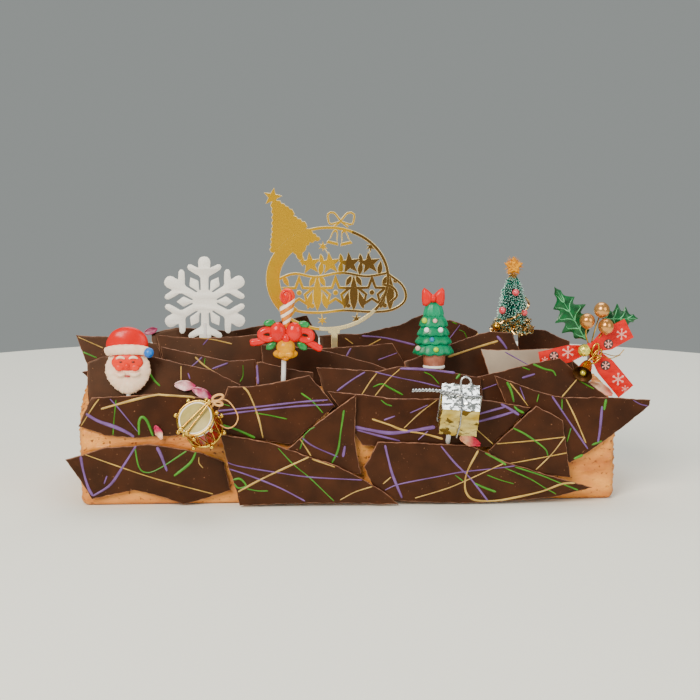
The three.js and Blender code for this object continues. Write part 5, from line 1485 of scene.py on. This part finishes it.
# ---- Gift box pick ----
# A foam cube wrapped in creased foil, silver on its top and pale gold on its other faces, tied both
# ways with a silver wire whose twisted end stands out to one side.
BOX_MIDDLE, BOX_SIDES, BOX_TURN = np.array([70.4, -82.4, 66.8]), (25.0, 24.0, 24.0), (35, 4, -3)
BOX_STEPS, FOIL_SEED = 36, 8
TWIST_END = np.array([39.5, -84.0, 80.2])

silver_foil = finish("silver_creased_foil", "#C8CCC8", "#F8FAF6", 4, 6, 0.9, 0.16, stretch=(0.5, 1, 1),
                     flecks=(5, 0.6, 0.5, "#6E7472"), Metallic=0.95)
gold_foil = finish("pale_gold_creased_foil", "#BC9C3C", "#E6D488", 6, 9, 1.3, 0.14, stretch=(0.4, 1, 1),
                   flecks=(8, 0.58, 0.5, "#6E5418"), Metallic=0.95)
silver_wire = finish("twisted_silver_wire", "#8C8E90", "#D6D8DA", 1.2, 0.5, 0.05, 0.25, Metallic=0.95)


def creases(points, rng, folds=26):
    """Sharp folds of wrapping foil: the sum of many ridges, each a triangle wave along a random line."""
    lift = np.zeros(points.shape[:-1])
    for _ in range(folds):
        heading = unit(rng.normal(size=3))
        across = points @ heading - rng.uniform(-12, 12)
        lift += rng.uniform(0.15, 0.6) * np.maximum(0, 1 - np.abs(across) / rng.uniform(0.9, 2.4))
    return lift - lift.mean()


def on_box(points):
    return turned(points, BOX_TURN, BOX_MIDDLE)


def box_faces(seed):
    """The six faces of a soft-cornered cube as one grid each; each point is pulled in toward the corners
    and pushed out along its own direction by the creases."""
    u, v = np.meshgrid(*[np.linspace(-1, 1, BOX_STEPS)] * 2, indexing="ij")
    for axis in range(3):
        for way in (-1, 1):
            cube = np.empty(u.shape + (3,))
            cube[..., axis] = way
            cube[..., (axis + 1) % 3], cube[..., (axis + 2) % 3] = (u, v) if way > 0 else (v, u)
            length = np.linalg.norm(cube, axis=-1, keepdims=True)
            solid = cube * (1 - 0.05 * (length - 1) ** 2) * np.array(BOX_SIDES) / 2
            lift = creases(solid, np.random.default_rng(seed))[..., None]
            yield axis, way, on_box(solid + cube / length * lift)


points, gold_faces, silver_faces = [], [], []
for axis, way, grid in box_faces(np.random.default_rng(FOIL_SEED).integers(1 << 30)):
    rows, columns = np.meshgrid(np.arange(BOX_STEPS - 1), np.arange(BOX_STEPS - 1), indexing="ij")
    first = ((len(points) * BOX_STEPS + rows) * BOX_STEPS + columns).reshape(-1)
    faces = np.stack([first, first + BOX_STEPS, first + BOX_STEPS + 1, first + 1], -1).tolist()
    points.append(grid.reshape(-1, 3))
    (silver_faces if axis == 2 and way > 0 else gold_faces).extend(faces)
points = np.concatenate(points)
shells = [(points, gold_faces, gold_foil), (points, silver_faces, silver_foil)]
side, back, top = (length / 2 + 0.7 for length in BOX_SIDES)
# Each wire goes once round the box, in straight runs between these points.
wraps = [[(-0.4, -back, -top), (0.6, -back, 0), (0, -back, top), (0.8, 0, top + 0.2), (0, back, top),
          (-0.6, back, 0), (0, back, -top), (0, 0, -top - 0.2)],
         [(-side, 1.2, -top), (-side, 0.4, 0), (-side, 1.6, top), (0, 0.6, top + 0.3), (side, 1.0, top),
          (side, 0, 0), (side, 1.4, -top), (0, 0.4, -top - 0.2)]]
for wrap in wraps:
    corners = on_box(wrap)
    path = [start + (end - start) * share for start, end in zip(corners, np.roll(corners, -1, axis=0))
            for share in np.linspace(0, 1, 12, endpoint=False)]
    shells.append(tube(silver_wire, path, 0.62, closed=True, reference=(1, 0.2, 0.3)))
knot = on_box([0.4, 0.8, top + 0.6])
share = np.linspace(0, 1, 90)[:, None]
for phase in (0, math.pi):
    spin = phase + share * 46
    strand = knot + (TWIST_END - knot) * share + [0, 0, 1.32] * np.sin(math.pi * share)
    strand = strand + 0.55 * np.concatenate([0 * spin, np.cos(spin), np.sin(spin)], 1)
    shells.append(tube(silver_wire, strand, 0.6, around=6))
loop = smooth_path([(70.8, 82.4), (70.2, 85.6), (70.9, 88.8), (73.6, 90.1), (76.5, 88.2), (76.2, 85.2),
                    (72.0, 82.6)], 0.7)
shells += [tube(silver_wire, upright(loop, knot[1] - 1.0), 0.6), ball(silver_wire, knot, (1.5, 1.5, 1.2)),
           stick((65.8, -77, 60), (65, -57, 30))]
add_piece("foil_gift_box", shells, "gift_box_pick", "silver_foil", 35)

# ---- Dried petals ----
# Six dried rose petals laid on the plates and the cream: thin, cupped, with curled edges, pale at
# one end and deep pink at the other, each a piece of its own.
# Middle in mm, length, width, turn in the XZ plane and lean back, colours, then how it turns pink.
PETALS = [
    ((-109.8, -51.6, 79.2), 13.6, 6.8, 6, -8, "cream_petal", "#E48C9C", "#FFE8E0",
     ("X", -110, -104, "#BC1C60")),
    ((-98.6, -53.3, 74.4), 14.0, 6.2, 26, -8, "rose_petal", "#BC2C64", "#F8C4D0", ("X", -99, -94, "#8C0444")),
    ((-127.0, -63.8, 50.2), 10.0, 4.6, 64, 0, "ruby_petal", "#EAA48C", "#F6C8AC", ("Z", 49, 51, "#C01454")),
    ((79.3, -70.4, 43.6), 14.6, 6.6, 20, 0, "peach_petal", "#E0784C", "#F8C498", ("X", 77, 82, "#CC1440")),
    ((172.6, -43.4, 73.2), 18.0, 7.0, 28, 6, "beige_petal", "#E0A680", "#F4CFAE", ("X", 172, 179, "#D87464")),
    ((-139.2, 41.2, 102.8), 10.0, 5.0, -18, -14, "mauve_petal", "#7A2A50", "#C87C96",
     ("X", -142, -136, "#9A3460")),
]


def petal_sheet(middle, length, width, turn, lean):
    """A pointed oval, cupped across, its rim curling forward with a few slow waves."""
    share = np.linspace(0, 1, 26)[:, None]
    across = np.linspace(-1, 1, 15)
    half = width / 2 * np.sin(math.pi * np.clip(share, 0.02, 0.98)) ** 0.6
    curl = 0.15 * np.sin(share * 13 + across * 2) * across**2
    depth = width * (curl - 0.2 * across**2 - 0.05 * (2 * share - 1) ** 2)
    flat = np.stack(np.broadcast_arrays((share - 0.5) * length, depth, half * across), -1)
    return turned(flat, (lean, turn, 0), middle)


for number, (*shape, colour, dark, light, blush) in enumerate(PETALS, 1):
    petal_skin = finish(colour, dark, light, 4, 1.2, 0.12, 0.5, fade=blush, Subsurface_Weight=0.1,
                        Subsurface_Scale=0.002)
    shells = [slab(petal_skin, petal_sheet(*shape))]
    add_piece(f"curled_petal_{number}", shells, f"petal_{number}", "dried_petal", 60)

# ---- Floor and light ----
# A plain pale floor and large soft lamps. Lengths here are in metres, and power is in watts.
FLOOR_RADIUS, FLOOR_DROP = 0.7, 0.0005
LAMP_AIM = (0, 0, 0.05)

floor_mesh = bpy.data.meshes.new("floor")
floor_rim = ring(FLOOR_RADIUS, turns(180), 0)
floor_mesh.from_pydata(floor_rim.tolist(), [], [list(range(len(floor_rim)))])
floor_mesh.materials.append(finish("painted_floor", "#EDEEE2", "#F3F4E8", 600, 4, 0.02, 0.7))
floor = bpy.data.objects.new("floor", floor_mesh)
floor.location = (0, 0, -FLOOR_DROP)
bpy.context.scene.collection.objects.link(floor)
floor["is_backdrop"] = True


def lamp(name, place, size, power, colour="#FFFFFF"):
    """A square soft lamp at a place, turned to face the point that all of them aim at."""
    data = bpy.data.lights.new(name, "AREA")
    data.size = size
    data.energy = power
    data.color = linear(colour)[:3]
    source = bpy.data.objects.new(name, data)
    source.location = place
    across, back, up = np.subtract(LAMP_AIM, place)
    tilt, turn = math.atan2(math.hypot(across, back), -up), math.atan2(back, across) - math.pi / 2
    source.rotation_euler = (tilt, 0, turn)
    bpy.context.scene.collection.objects.link(source)


lamp("key_lamp", (-0.95, -1.6, 1.3), 1.0, 66, "#FFF4E8")
lamp("fill_lamp", (1.5, -1.5, 0.8), 1.4, 20, "#FCFBF6")
lamp("top_lamp", (0.1, 0.5, 1.6), 1.2, 20)
world = bpy.data.worlds.new("studio")
world.use_nodes = True
sky = world.node_tree.nodes["Background"].inputs
sky["Color"].default_value = linear("#D8DFDC")
sky["Strength"].default_value = 0.42
bpy.context.scene.world = world

boxes = {"cad": cad_bounds, "visual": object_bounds()}
{key: [list(corner) for corner in box] for key, box in boxes.items()}
